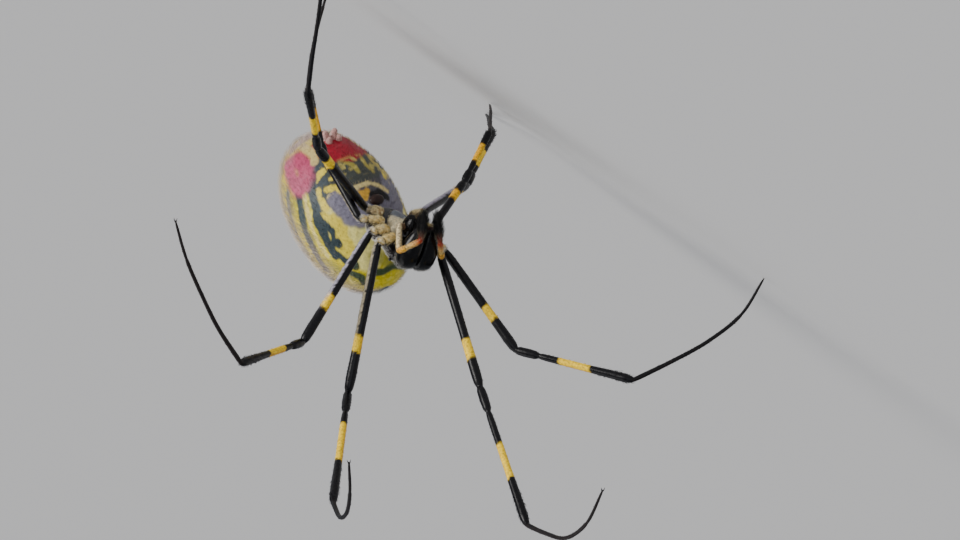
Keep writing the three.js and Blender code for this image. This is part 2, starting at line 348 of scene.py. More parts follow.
def shelve(patches: Sequence[Patch]) -> None:
    """Gives each patch its own rectangle of the skin's unwrap, tall ones first, in rows.

    Args:
        patches: The skin's patches.
    """
    sheet, edge = 64.0, 0.25  # width of the unwrap and gap between its patches, mm
    x = y = tall = 0.0
    for patch in sorted(patches, key=lambda p: -p.measure()[1]):
        wide, high = patch.measure()
        if x + wide > sheet - edge:
            x, y, tall = 0.0, y + tall + edge, 0.0
        patch.corner = ((x + edge) / sheet, (y + edge) / sheet)
        patch.span = (wide / sheet, high / sheet)
        x, tall = x + wide + edge, max(tall, high)


def carry(points: np.ndarray, first: Optional[np.ndarray] = None) -> tuple[np.ndarray, np.ndarray]:
    """Carries a pair of cross axes along a path without twist.

    Args:
        points: The path.
        first: A direction that the first axis starts near.

    Returns:
        The two axes at each point.
    """
    step = unit(np.diff(points, axis=0))
    run = unit(np.vstack([step[:1], step[:-1] + step[1:], step[-1:]]))
    side = np.array([0.0, 0.0, 1.0]) if first is None else np.array(first, float)
    if abs(unit(side) @ run[0]) > 0.95:
        side = np.array([1.0, 0.3, 0.0])
    one = np.empty_like(points)
    for k, way in enumerate(run):
        side = unit(side - way * (side @ way))
        one[k] = side
    return one, np.cross(run, one)


def along(values: np.ndarray, place: np.ndarray) -> np.ndarray:
    """Spreads a value for each ring, or one for each point, over a grid of points."""
    grid = np.asarray(values, float)
    return np.broadcast_to(grid[:, None] if grid.ndim == 1 else grid, place.shape[:2]).copy()


def tube(points: np.ndarray, radii: np.ndarray, sides: int, first: Optional[np.ndarray] = None) -> np.ndarray:
    """Builds rings round a path.

    Args:
        points: The path, mm.
        radii: A radius at each point.
        sides: Points of a ring.
        first: Direction of each ring's first point, as near as the path allows.

    Returns:
        The rings of points.
    """
    one, two = carry(points, first)
    angle = TURN * np.arange(sides) / sides
    size = np.broadcast_to(radii[:, None], (len(points), sides))
    return points[:, None] + size[..., None] * (
        one[:, None] * np.cos(angle)[None, :, None] + two[:, None] * np.sin(angle)[None, :, None])


BLACK = rgb(9, 8, 13)
BROWN = rgb(28, 20, 20)
YELLOW = rgb(255, 212, 40)
CREAM = rgb(214, 190, 132)
SILVER = rgb(222, 218, 212)


class Part(IntEnum):
    """The segments of a leg, from the body outwards."""

    COXA = 0
    FEMUR = 1
    PATELLA = 2
    TIBIA = 3
    METATARSUS = 4
    TARSUS = 5


PROFILE: dict[Part, list[tuple[float, float]]] = {  # share of the segment, radius as a share of the girth
    Part.COXA: [(0, 0.7), (0.1, 0.92), (0.4, 1.0), (0.58, 0.97), (0.66, 0.78), (0.7, 0.7), (0.76, 0.86),
                (0.88, 0.9), (0.96, 0.76), (1, 0.62)],
    Part.FEMUR: [(0, 0.62), (0.012, 0.7), (0.03, 0.85), (0.08, 0.93), (0.3, 0.97), (0.6, 0.95), (0.75, 1.03),
                 (0.9, 1.1), (0.965, 1.0), (0.99, 0.76), (1, 0.68)],
    Part.PATELLA: [(0, 0.68), (0.05, 0.8), (0.15, 0.98), (0.5, 1.05), (0.85, 0.96), (0.94, 0.78), (1, 0.62)],
    Part.TIBIA: [(0, 0.62), (0.03, 0.82), (0.1, 0.9), (0.5, 0.94), (0.72, 1.08), (0.92, 1.16), (0.98, 0.94),
                 (1, 0.6)],
    Part.METATARSUS: [(0, 0.85), (0.02, 1.05), (0.06, 1.1), (0.3, 0.97), (0.7, 0.88), (0.97, 0.86), (1, 0.7)],
    Part.TARSUS: [(0, 0.72), (0.04, 0.9), (0.5, 0.86), (0.85, 0.7), (0.97, 0.5), (1, 0.22)],
}


GIRTH: dict[Part, float] = {  # radius of the skin on the first pair of legs, mm
    Part.COXA: 0.47, Part.FEMUR: 0.415, Part.PATELLA: 0.4, Part.TIBIA: 0.345, Part.METATARSUS: 0.2,
    Part.TARSUS: 0.155}
PAIR_SHARE: dict[int, float] = {1: 1.0, 2: 0.98, 3: 0.86, 4: 0.98}  # of that radius
ROOT: dict[int, Point] = {  # where each pair starts on the head: forward, outward and down, mm
    1: (5.15, 1.5, 1.15), 2: (4.15, 1.8, 1.15), 3: (3.05, 1.85, 1.1), 4: (1.95, 1.45, 1.05)}
KNEE: dict[int, float] = {1: 2.6, 2: 2.2, 3: 1.3, 4: 1.8}  # length of each pair's patella, mm


@dataclass(frozen=True)
class Leg:
    """One leg: its spans and its bands."""

    side: Side
    pair: int
    hip: Point  # end of the coxa: forward, outward and down on the head, mm
    stands: bool
    femur: Point  # length in mm, azimuth and elevation in degrees
    shank: Point  # patella and tibia together, the same way
    foot: tuple[Point, ...]  # the four spans of metatarsus and tarsus, the same way
    thigh_band: tuple[float, float] = (0.6, 0.74)  # shares of the femur
    shin_band: tuple[float, float] = (0.2, 0.55)  # shares of the tibia
    stripe: Point = (0.0, 0.0, 1.0)  # side of the femur's stripe of pale hair and painted highlight, on its lit edge
    stripe_share: float = 0.5
    root_tint: Point = (214.0, 184.0, 112.0)
    # Tone of the femur's stripe: pale hair, and where lavender a painted highlight
    stripe_hair_and_highlight_tone: Point = (206.0, 192.0, 160.0)
    sides: int = 16
    short_step: float = 0.09  # between the rings of coxa and patella, mm
    long_step: float = 0.17  # between those of femur and tibia, mm
    foot_rings: int = 22  # rings on each span of the foot
    sole: float = 0.16  # height of a standing foot's end, mm

    @property
    def name(self) -> str:
        """The leg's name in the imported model."""
        return f"{self.side.name.lower()}_{self.pair}"

    def girth(self, part: Part) -> float:
        """Gives the radius of a segment's skin, mm."""
        return PAIR_SHARE[self.pair] * GIRTH[part]

    def joints(self) -> np.ndarray:
        """Gives the ends of the segments and of the foot's spans.

        Returns:
            Nine points, mm.
        """
        root, hip = (HEAD.at(x, self.side * y, w) for x, y, w in (ROOT[self.pair], self.hip))
        knee = hip + aim(*self.femur[1:]) * self.femur[0]
        shin = aim(*self.shank[1:])
        trail = [root, hip, knee, knee + shin * KNEE[self.pair], knee + shin * self.shank[0]]
        for long, azimuth, elevation in self.foot:
            trail.append(trail[-1] + aim(azimuth, elevation) * long)
        if self.stands:
            trail[-1][2] = self.sole
        return np.array(trail)

    def path(self) -> tuple[np.ndarray, np.ndarray, np.ndarray]:
        """Follows the leg from its root to its tip, its corners slightly rounded.

        Returns:
            The points, the number of the segment of each, and its share along that segment.
        """
        j = self.joints()
        points, part, share = [], [], []
        for k in range(4):
            long = float(np.linalg.norm(j[k + 1] - j[k]))
            n = max(12, int(long / (self.short_step if k in (Part.COXA, Part.PATELLA) else self.long_step)))
            t = np.arange(n) / n
            t = t - 0.08 * np.sin(TURN * t) / math.pi if k else t
            points.append(j[k] + (j[k + 1] - j[k]) * t[:, None])
            part.append(np.full(n, k))
            share.append(t)
        q = np.vstack([2 * j[4] - j[5] if self.stands else j[3], j[4:9], 2 * j[8] - j[7]])
        for k in range(4):
            p0, p1, p2, p3 = q[k:k + 4]
            n = self.foot_rings
            t = (np.arange(n) / n)[:, None]
            if k == 0:
                p0 = 2 * p1 - p2
            points.append(0.5 * (2 * p1 + (p2 - p0) * t + (2 * p0 - 5 * p1 + 4 * p2 - p3) * t ** 2
                                 + (3 * p1 - p0 - 3 * p2 + p3) * t ** 3))
            part.append(np.full(n, int(Part.METATARSUS if k < 3 else Part.TARSUS)))
            share.append((k + t[:, 0]) / 3 if k < 3 else t[:, 0])
        points.append(j[8][None])
        part.append(np.array([int(Part.TARSUS)]))
        share.append(np.array([1.0]))
        line, part, share = np.vstack(points), np.concatenate(part), np.concatenate(share)
        relax(line, 3)
        return line, part, share

    def patch(self) -> Patch:
        """Builds the leg's surface with its markings and hair.

        Returns:
            The patch of the skin.
        """
        line, part, share = self.path()
        radii = np.array([self.girth(Part(k)) * np.interp(t, *zip(*PROFILE[Part(k)]))
                          for k, t in zip(part, share)])
        relax(radii, 1)
        place = tube(line, radii, self.sides, np.array(self.stripe))
        rows, cols = place.shape[:2]
        k, t = part[:, None], share[:, None]
        # Edge is 1 on the side of the pale stripe, the femur's lit edge, and -1 opposite
        edge = np.broadcast_to(np.cos(TURN * np.arange(cols) / cols)[None], (rows, cols))
        grit = noise(place, 0.22, 10 * self.pair + self.side)
        coxa = (k == Part.COXA)[..., None]
        # The femur's pale stripe: pale hair with a painted highlight along its lit edge
        stripe = ((k == Part.FEMUR) * ease(0.85, 0.95, edge + 0.1 * grit)
                  * ease(self.stripe_share + 0.1, self.stripe_share - 0.15, t))
        below = unit(place - line[:, None]) @ HEAD.axes()[2]
        pale = ease(-0.45, 0.15, below + 0.2 * grit)
        seam = np.maximum(ease(0.05, 0.01, np.abs(t - 0.7)), ease(0.93, 0.98, t))
        colour = np.where(coxa, self.coxa_colour(place, below, pale, seam, grit), BLACK)
        colour = self.banded(colour, k, t, edge, grit)
        dark = blend(BROWN, BLACK, ease(-0.2, 0.9, edge + grit))
        colour = np.where((k >= Part.METATARSUS)[..., None], dark, colour)
        colour = blend(colour, rgb(*self.stripe_hair_and_highlight_tone), 0.75 * stripe)
        rough = np.where(k >= Part.METATARSUS, 0.5, np.where(k == Part.COXA, 0.55, 0.3))
        rough = rough + 0.06 * grit + 0.2 * (colour[..., 0] > 0.2)
        parts = [k == at for at in Part if at is not Part.TARSUS]
        density = np.select(parts, [16 + 80 * pale * (1 - seam), 9.0 + 90 * stripe, 8.0,
                                    9 + 22 * ease(0.5, 0.95, t), 13.0], 12.0)
        length = np.select(parts, [0.33, 0.2, 0.2, 0.2 + 0.16 * ease(0.4, 0.9, t), 0.17], 0.12)
        tint = blend(colour, BLACK, np.full((rows, cols), 0.35))
        # Coxa hair turns white-silver on the trochanter: a painted highlight
        cream = blend(rgb(240, 224, 172), rgb(240, 236, 226), ease(0.6, 0.8, t) + 0 * edge)
        tint = blend(np.where(coxa, cream, tint), 1.25 * rgb(*self.stripe_hair_and_highlight_tone), stripe)
        return Patch(self.name, place, colour, along(rough, place), Finish.CUTICLE, along(density, place),
                     along(length, place), tint, 26.0)

    def coxa_colour(self, place: np.ndarray, below: np.ndarray, pale: np.ndarray, seam: np.ndarray,
                    grit: np.ndarray) -> np.ndarray:
        """Colours the mottled first segments, dark above and in the seams.

        Args:
            place: Points, mm.
            below: How far each faces down from the head, -1 to 1.
            pale: Share of the pale underside.
            seam: Share of the seams.
            grit: Fine noise.

        Returns:
            Linear colours.
        """
        cream = blend(rgb(*self.root_tint), rgb(232, 218, 176), ease(-0.2, 0.7, grit))
        made = blend(np.broadcast_to(BROWN, place.shape), cream, pale)
        dab = noise(place, 0.11, 70 + self.pair)
        made = blend(made, rgb(92, 66, 42), 0.75 * ease(0.1, 0.6, dab + 0.35 * (0.4 - below)))
        return blend(made, rgb(24, 17, 17), 0.95 * np.maximum(seam, ease(0.25, -0.2, below)))

    def banded(self, colour: np.ndarray, part: np.ndarray, share: np.ndarray, edge: np.ndarray,
               grit: np.ndarray) -> np.ndarray:
        """Lays the golden bands on femur and tibia, their ends a little ragged.

        Args:
            colour: Linear colours below.
            part: Segment of each ring.
            share: Share of each ring along its segment.
            edge: 1 on the side of the pale stripe, -1 opposite.
            grit: Fine noise.

        Returns:
            Linear colours.
        """
        gold = blend(YELLOW, rgb(232, 170, 28), ease(-0.2, 1.0, -edge + 0.4 * grit))
        for at, band, long in ((Part.FEMUR, self.thigh_band, self.femur[0]),
                               (Part.TIBIA, self.shin_band, self.shank[0] - KNEE[self.pair])):
            wave = share * long + 0.09 * grit + 0.12 * edge
            low, high = band[0] * long, band[1] * long
            shown = (part == at) * ease(low - 0.07, low + 0.09, wave) * ease(high + 0.09, high - 0.07, wave)
            colour = blend(colour, gold, shown)
        return colour


LEGS: tuple[Leg, ...] = (
    Leg(Side.LEFT, 1, (5.63, 3.22, 0.62), False, (13.35, -151.8, 65.3), (14.6, -67.3, 37.6),
        ((4.25, -62.0, 11.0), (4.25, -48.0, -8.0), (4.25, -33.6, -19.8), (4.25, -20.9, -27.2)),
        (0.62, 0.73), (0.15, 0.56), (0.98, 0.18, 0.6), 0.62),
    # Its lavender stripe is a painted highlight
    Leg(Side.LEFT, 2, (4.39, 3.57, 0.72), False, (11.6, -61.6, 78.0), (11.66, -27.1, 24.9),
        ((4.2, 9.4, -17.3), (4.04, 4.7, -21.9), (3.97, 3.8, -24.3), (3.99, 4.9, -31.1)),
        (0.58, 0.7), (0.16, 0.46), (0.98, 0.18, 0.6), 0.66, stripe_hair_and_highlight_tone=(206.0, 200.0, 214.0)),
    Leg(Side.LEFT, 3, (2.8, 4.1, 0.8), True, (7.0, 72.7, -24.2), (6.3, 51.5, -41.1),
        ((2.48, 47.0, -61.0), (2.48, 45.2, -66.0), (2.47, 45.2, -70.0), (2.48, 44.0, -73.0)),
        (0.83, 0.94), (0.2, 0.6)),
    Leg(Side.LEFT, 4, (0.94, 2.65, 0.6), True, (10.44, -7.3, -8.1), (8.85, -20.5, -21.0),
        ((3.55, -10.9, -46.5), (3.55, -9.4, -49.4), (3.55, -11.1, -45.4), (3.55, -11.5, -45.1)),
        (0.74, 0.85), (0.12, 0.46), (0.98, 0.18, 0.6), -0.2, (150.0, 120.0, 78.0)),
    Leg(Side.RIGHT, 1, (6.07, 3.02, 0.61), False, (13.2, -108.0, 36.0), (14.6, -99.7, 32.1),
        ((4.25, -66.9, -2.5), (4.25, -67.8, -7.4), (4.25, -54.8, -27.2), (4.25, -34.3, -44.3)),
        (0.655, 0.8), (0.3, 0.6), (-0.13, -1.02, -0.54), -0.2),
    Leg(Side.RIGHT, 2, (5.38, 3.89, 0.47), True, (11.03, -120.6, 19.5), (11.31, -111.2, -18.2),
        ((3.92, -157.8, -59.0), (3.85, -171.4, -59.0), (3.83, -171.7, -70.0), (3.88, 22.2, -87.0)),
        (0.57, 0.7), (0.22, 0.55), (-0.13, -1.02, -0.54), -0.2),
    Leg(Side.RIGHT, 3, (2.8, 3.4, 0.8), True, (6.5, 134.2, -52.8), (5.6, 116.1, -66.9),
        ((2.15, 125.2, -17.6), (2.15, 125.2, -17.6), (2.15, 125.2, -17.6), (2.15, 125.2, -17.6)),
        (0.6, 0.76), (0.2, 0.6)),
    # Its lavender stripe on the upper edge is a painted highlight
    Leg(Side.RIGHT, 4, (0.4, 3.44, 0.59), True, (9.65, 147.3, -29.3), (8.46, 127.1, -41.9),
        ((3.07, 125.5, -8.0), (3.05, 129.2, -8.6), (3.05, 129.2, -8.6), (3.05, 129.2, -8.6)),
        (0.7, 0.82), (0.15, 0.5), (0.79, 0.03, -0.79), 0.95, (150.0, 120.0, 78.0),
        (178.0, 172.0, 190.0)),
)


@dataclass(frozen=True)
class Mark:
    """A stroke or spot of colour on the abdomen.

    Its points are forward in mm and round from below to the left in degrees.
    """

    points: tuple[tuple[float, float], ...]
    width: float
    colour: Point
    soft: float = 0.12
    both: bool = True
    strength: float = 1.0


INK = (44.0, 60.0, 66.0)
LEMON = (236.0, 214.0, 78.0)
PALE = (224.0, 205.0, 140.0)
MARKS: tuple[Mark, ...] = (
    # The dark field of the underside and its lavender front
    Mark(((-2.9, 34), (-2.0, 44), (-1.0, 40), (0.2, 42)), 1.5, (70, 80, 86), 0.4),
    Mark(((-2.7, -22), (-2.4, 0), (-2.6, 22)), 1.25, (66, 74, 70), 0.4, False),
    Mark(((-1.2, -30), (-1.0, 0), (-0.8, 24)), 1.3, (70, 74, 70), 0.4, False),
    Mark(((0.6, -28), (0.9, 0), (0.9, 22)), 1.2, (80, 78, 84), 0.4, False),
    Mark(((0.3, 33), (1.2, 27), (2.4, 24), (3.2, 8)), 1.15, (122, 118, 134), 0.45),
    Mark(((1.9, 38), (2.6, 31), (3.5, 24)), 0.65, (58, 52, 60), 0.3),
    # Yellow islands in it
    Mark(((-2.52, 51), (-3.0, 37)), 0.27, LEMON, 0.1),
    Mark(((-1.93, 34), (-1.9, 32)), 0.21, LEMON, 0.1),
    Mark(((-1.2, 43), (-0.95, 33), (-0.5, 31)), 0.27, LEMON, 0.1),
    Mark(((-0.5, 45), (-0.3, 38), (0.12, 34)), 0.22, PALE, 0.1),
    Mark(((-1.5, 53), (-0.9, 55), (0.0, 54), (0.75, 52), (1.2, 50)), 0.3, LEMON, 0.1),
    Mark(((-0.1, 21), (-0.22, 11), (-0.15, -1), (0.3, -12), (1.0, -20)), 0.2, PALE, 0.12, False),
    Mark(((0.62, 16), (0.55, 6), (1.0, 12)), 0.3, (216, 168, 60), 0.15, False),
    Mark(((0.95, 2), (1.0, -8), (1.45, -14)), 0.36, (16, 15, 18), 0.12, False),
    Mark(((-3.1, 12), (-2.3, 4), (-1.5, 3)), 0.2, (170, 158, 72), 0.18, False),
    Mark(((-2.9, -14), (-2.0, -12), (-1.2, -16)), 0.2, (176, 160, 76), 0.18, False),
    Mark(((-3.2, -30), (-2.3, -28), (-1.2, -34)), 0.24, (190, 170, 80), 0.18, False),
    Mark(((-0.9, -38), (0.2, -38), (1.2, -34)), 0.24, (190, 168, 84), 0.18, False),
    Mark(((-3.5, 18), (-3.55, 0), (-3.35, -20)), 0.2, (200, 178, 76), 0.15, False),
    # The bright side below, its palest patch a painted highlight
    Mark(((1.8, 50), (3.0, 46), (4.7, 38), (5.6, 40)), 1.3, (240, 230, 140), 0.5),
    Mark(((1.2, 62), (1.8, 52), (3.2, 58), (4.6, 60)), 0.75, (226, 206, 74), 0.25),
    Mark(((0.2, 41), (1.0, 38), (1.9, 36), (2.6, 27)), 0.72, (126, 122, 138), 0.3),
    # Its dark wavy lines
    Mark(((-3.5, 50), (-2.6, 55), (-1.9, 59), (-0.4, 63)), 0.42, (84, 98, 102), 0.2),
    Mark(((-3.3, 50), (-2.6, 55), (-1.9, 58), (-0.4, 64), (0.9, 70), (2.2, 72), (3.1, 74), (4.0, 77)),
         0.36, INK, 0.1),
    Mark(((0.6, 66), (1.4, 62), (2.2, 60), (2.9, 66), (3.3, 70)), 0.2, INK, 0.1),
    Mark(((0.9, 70), (1.7, 63), (2.4, 62)), 0.24, INK, 0.1),
    Mark(((3.2, 63), (3.5, 64)), 0.29, INK, 0.1),
    Mark(((3.6, 76), (4.2, 72), (4.9, 71), (5.3, 66)), 0.26, INK, 0.1),
    Mark(((-3.0, 67), (-2.0, 69), (-0.6, 74), (0.8, 80), (2.2, 84), (3.6, 87)), 0.2, (230, 214, 128), 0.14),
    Mark(((-2.9, 74), (-1.6, 79), (-0.5, 85), (0.7, 91), (2.0, 96), (3.0, 102), (4.2, 109)),
         0.38, (62, 80, 84), 0.14),
    Mark(((-3.4, 92), (-2.4, 99), (-1.2, 106), (0.2, 112), (1.6, 117)), 0.3, (92, 106, 104), 0.2),
    Mark(((5.5, 64), (5.75, 66)), 0.3, (58, 74, 60), 0.18),
    Mark(((6.0, 80), (6.6, 74), (7.0, 84)), 0.34, (60, 76, 50), 0.2),
    Mark(((6.8, 52), (7.1, 30), (7.0, 0), (7.1, -30), (6.9, -52)), 0.34, (66, 84, 50), 0.25, False),
    Mark(((5.9, 32), (6.5, 18), (6.4, -6)), 0.5, (160, 156, 50), 0.4, False, 0.7),
    # The red of the rear
    Mark(((-5.0, 24), (-5.4, 0), (-5.2, -26), (-4.2, -24), (-3.9, 0), (-4.4, 18)), 1.02, (158, 12, 40),
         0.36, False),
    Mark(((-5.5, 62), (-4.6, 54), (-3.6, 58), (-2.9, 68)), 0.84, (186, 70, 106), 0.75),
    Mark(((-5.7, 82), (-4.4, 78), (-3.2, 76)), 0.72, (194, 92, 122), 0.85),
    Mark(((-6.3, 46), (-5.5, 40), (-4.8, 38), (-4.2, 40)), 0.36, (206, 184, 120), 0.22),
    Mark(((-6.9, 70), (-7.2, 20), (-7.2, -20)), 0.5, (140, 112, 104), 0.4),
)


@dataclass(frozen=True)
class Abdomen:
    """The abdomen with its markings, spinnerets, vent and the plate over the opening."""

    half: Point = (7.82, 4.93, 4.83)
    rows: int = 186
    cols: int = 244
    bands: tuple[float, ...] = (5.6, 2.9, 0.2, -2.5, -4.8)  # middles of the back's yellow bands, mm forward
    hair: float = 0.36  # length on the underside, mm
    widening: float = 1.1  # of the marks

    def rings(self) -> np.ndarray:
        """Builds the surface with its soft folds and muscle dimples.

        Returns:
            Rings of points from the rear to the front, mm.
        """
        t = math.pi * (np.arange(self.rows) + 0.7) / (self.rows + 0.4)
        u = TURN * (np.arange(self.cols) + 0.5) / self.cols + math.pi / 2
        plump = np.sin(t)[:, None] ** 0.94
        x = -self.half[0] * np.cos(t)[:, None]
        y = self.half[1] * plump * np.sin(u)[None]
        w = self.half[2] * plump * np.cos(u)[None]
        place = RUMP.at(x, y, w)
        out = unit(place - RUMP.at(np.clip(x, -5, 5), 0, 0))
        back = ease(0.2, 0.9, -np.cos(u))[None]
        dimple = np.zeros_like(x * y)
        for at in (3.6, 1.2, -1.2):
            for side in (0.9, -0.9):
                dimple = dimple - 0.1 * back * np.exp(-((x - at) ** 2 + (y - side) ** 2) / 0.09)
        folds = 0.02 * noise(place, 0.9, 5) + dimple
        return place + out * folds[..., None]

    def spot(self, x: np.ndarray, degrees: np.ndarray) -> np.ndarray:
        """Places points of the surface.

        Args:
            x: Forward, mm.
            degrees: Round from below to the left.

        Returns:
            The points, mm.
        """
        plump = np.maximum(1 - (np.asarray(x) / self.half[0]) ** 2, 0.0) ** 0.47
        a = np.radians(degrees)
        return RUMP.at(x, self.half[1] * plump * np.sin(a), self.half[2] * plump * np.cos(a))

    def paint(self, place: np.ndarray) -> np.ndarray:
        """Colours points of the surface.

        Args:
            place: Points, mm.

        Returns:
            Linear colours.
        """
        own = RUMP.own(place)
        x = own[..., 0]
        a = np.degrees(np.arctan2(own[..., 1], own[..., 2]))
        soft, fine, mid = noise(place, 1.1, 21), noise(place, 0.3, 22), noise(place, 0.62, 23)
        base = np.broadcast_to(rgb(228, 208, 24), place.shape).copy()
        tilt = 0.25 * np.sin(np.radians(a))
        base = blend(base, rgb(178, 170, 26), ease(-0.1, 0.9, soft + tilt + 0.3 * mid))
        base = blend(base, rgb(238, 224, 84), ease(0.1, 0.8, fine))
        # Yellow and blue-grey bands across the back
        back = ease(112, 128, np.abs(a) + 5 * soft)
        bent = x + 0.35 * soft - 0.0012 * (180 - np.abs(a)) ** 1.6 / 4
        near = np.min([np.abs(bent - b) for b in self.bands], axis=0)
        band = blend(rgb(84, 110, 112), rgb(230, 208, 66), ease(0.86, 0.66, near + 0.1 * fine))
        band = blend(band, rgb(46, 56, 58), ease(0.22, 0.08, np.abs(near - 0.82 + 0.08 * fine)))
        band = blend(band, rgb(64, 78, 84), 0.5 * ease(0.55, 0.2, np.abs(own[..., 1])) * (near > 0.8))
        base = blend(base, band, back)
        for mark in MARKS:
            p = np.array(mark.points, float)
            p = np.vstack([p[:-1] + (p[1:] - p[:-1]) * s for s in np.linspace(0, 1, 9)] + [p[-1:]])
            wide = self.widening * mark.width
            for flip in ((1, -1) if mark.both else (1,)):
                line = self.spot(p[:, 0], flip * p[:, 1])
                lo, hi = line.min(0) - mark.width - 0.6, line.max(0) + mark.width + 0.6
                inside = np.all((place > lo) & (place < hi), axis=-1)
                if not inside.any():
                    continue
                some = place[inside]
                far = np.sqrt(((some[:, None] - line[None]) ** 2).sum(-1)).min(1)
                ragged = 0.14 * soft[inside] + 0.22 * mid[inside]
                wander = far + 0.06 * fine[inside] + min(mark.width, 1.0) * ragged
                share = mark.strength * ease(wide + mark.soft / 2, wide - mark.soft / 2, wander)
                base[inside] = blend(base[inside], rgb(*mark.colour), share)
        speckle = ease(-3.5, -2.9, x) * ease(-1.0, -1.5, x) * ease(30, 20, np.abs(a + 6))
        base = blend(base, rgb(200, 184, 98), 0.85 * speckle * ease(0.12, 0.34, noise(place, 0.42, 24)))
        # A pale haze over the flanks and the rear: fine down, and in part a painted sheen of the hair seen
        # edge-on
        side = ease(82, 112, np.abs(a) + 12 * soft) * ease(158, 128, np.abs(a))
        down_and_sheen = np.maximum(side * 0.4, 0.62 * ease(-5.6, -7.2, x + 0.5 * soft))
        return blend(base, rgb(190, 166, 158), down_and_sheen)

    def patch(self) -> Patch:
        """Builds the abdomen's surface.

        Returns:
            The patch of the skin.
        """
        place = self.rings()
        colour = self.paint(place)
        rough = 0.42 + 0.08 * noise(place, 0.4, 7)
        own = RUMP.own(place)
        round_it = np.abs(np.degrees(np.arctan2(own[..., 1], own[..., 2])))
        flank = ease(60, 100, round_it) * (1 - 0.6 * ease(125, 155, round_it))
        flank = np.maximum(flank, 0.8 * ease(-5.2, -6.8, own[..., 0]))
        # Paler hair on the flanks and rear: in part a painted sheen of the hair seen edge-on
        tint = blend(colour, rgb(238, 228, 224), 0.05 + 0.62 * flank)
        return Patch("abdomen", place, colour, rough, Finish.BELLY, 22 + 22 * flank, self.hair + 0.34 * flank,
                     tint, 33.0)

    def spinnerets(self) -> list[Patch]:
        """Builds the six spinnerets, the vent and the plate.

        Returns:
            Their patches.
        """
        made = []
        forward, left, down = RUMP.axes()
        spots = ((-5.0, 0.42, 1.0), (-5.75, 0.4, 0.92), (-5.4, 0.16, 0.6))  # forward, outward, share of size
        for side in Side:
            for number, (x, y, share) in enumerate(spots):
                foot = RUMP.at(x, side * y, 2.6)
                way = unit(down * 0.86 - forward * 0.42 + left * side * 0.1)
                reach, r = 0.8 + 0.73 * share, 0.34 * (0.7 + 0.3 * share)
                t = np.linspace(0, 1, 26)
                size = r * np.interp(t, [0, 0.45, 0.6, 0.64, 0.68, 0.9, 1],
                                     [1.1, 1.06, 1.0, 0.84, 0.9, 0.7, 0.35])
                place = tube(foot + way * reach * t[:, None], size, 16)
                tone = blend(rgb(230, 204, 196), rgb(196, 152, 144), along(ease(0.45, 0.8, t), place))
                patch = Patch.bare(f"spinneret_{side.name}_{number}", place, tone, 0.5, Finish.CUTICLE)
                patch.density = np.broadcast_to(22 * ease(0.4, 0.6, t)[:, None], (26, 16)).copy()
                patch.tint[:] = rgb(214, 194, 184)
                made.append(patch)
        for name, spot, half, tone in (("vent", (-6.45, 0.0, 2.72), (0.48, 0.43, 0.48), (110, 74, 62)),
                                       ("plate", (1.5, 0.0, 4.68), (0.52, 0.78, 0.4), (44, 28, 24))):
            place = RUMP.at(*(at + reach * axis for at, reach, axis in zip(spot, half, ball(0.08, 22, 28))))
            made.append(Patch.bare(name, place, rgb(*tone), 0.4, Finish.CUTICLE))
        return made


Station = tuple[float, float, float, float]
EYE_SPOTS: tuple[Station, ...] = (  # forward, outward, down, radius, mm
    (6.36, 0.32, -0.51, 0.18), (6.17, 0.38, -0.87, 0.18), (6.02, 1.2, -0.52, 0.15), (5.84, 1.34, -0.82, 0.15))


def clear_of_eyes(place: np.ndarray) -> np.ndarray:
    """Keeps the hair off the eyes.

    Args:
        place: Points, mm.

    Returns:
        A share that falls to 0 round each eye.
    """
    own = HEAD.own(place)
    own[..., 1] = np.abs(own[..., 1])
    far = np.min([np.linalg.norm(own - [x, y, w], axis=-1) for x, y, w, _ in EYE_SPOTS], axis=0)
    return ease(0.2, 0.36, far)


PALP_JOINTS: dict[Side, tuple[Point, ...]] = {  # forward, outward, down on the head, mm
    Side.LEFT: ((4.8, 0.9, 2.1), (4.75, 1.45, 2.2), (7.5, 2.2, 1.42), (8.15, 1.15, 3.4), (6.62, 1.2, 5.47)),
    Side.RIGHT: ((4.8, 0.9, 2.1), (4.75, 1.45, 2.2), (7.6, 2.2, 1.42), (8.3, 0.75, 3.5), (6.32, 0.36, 5.22))}


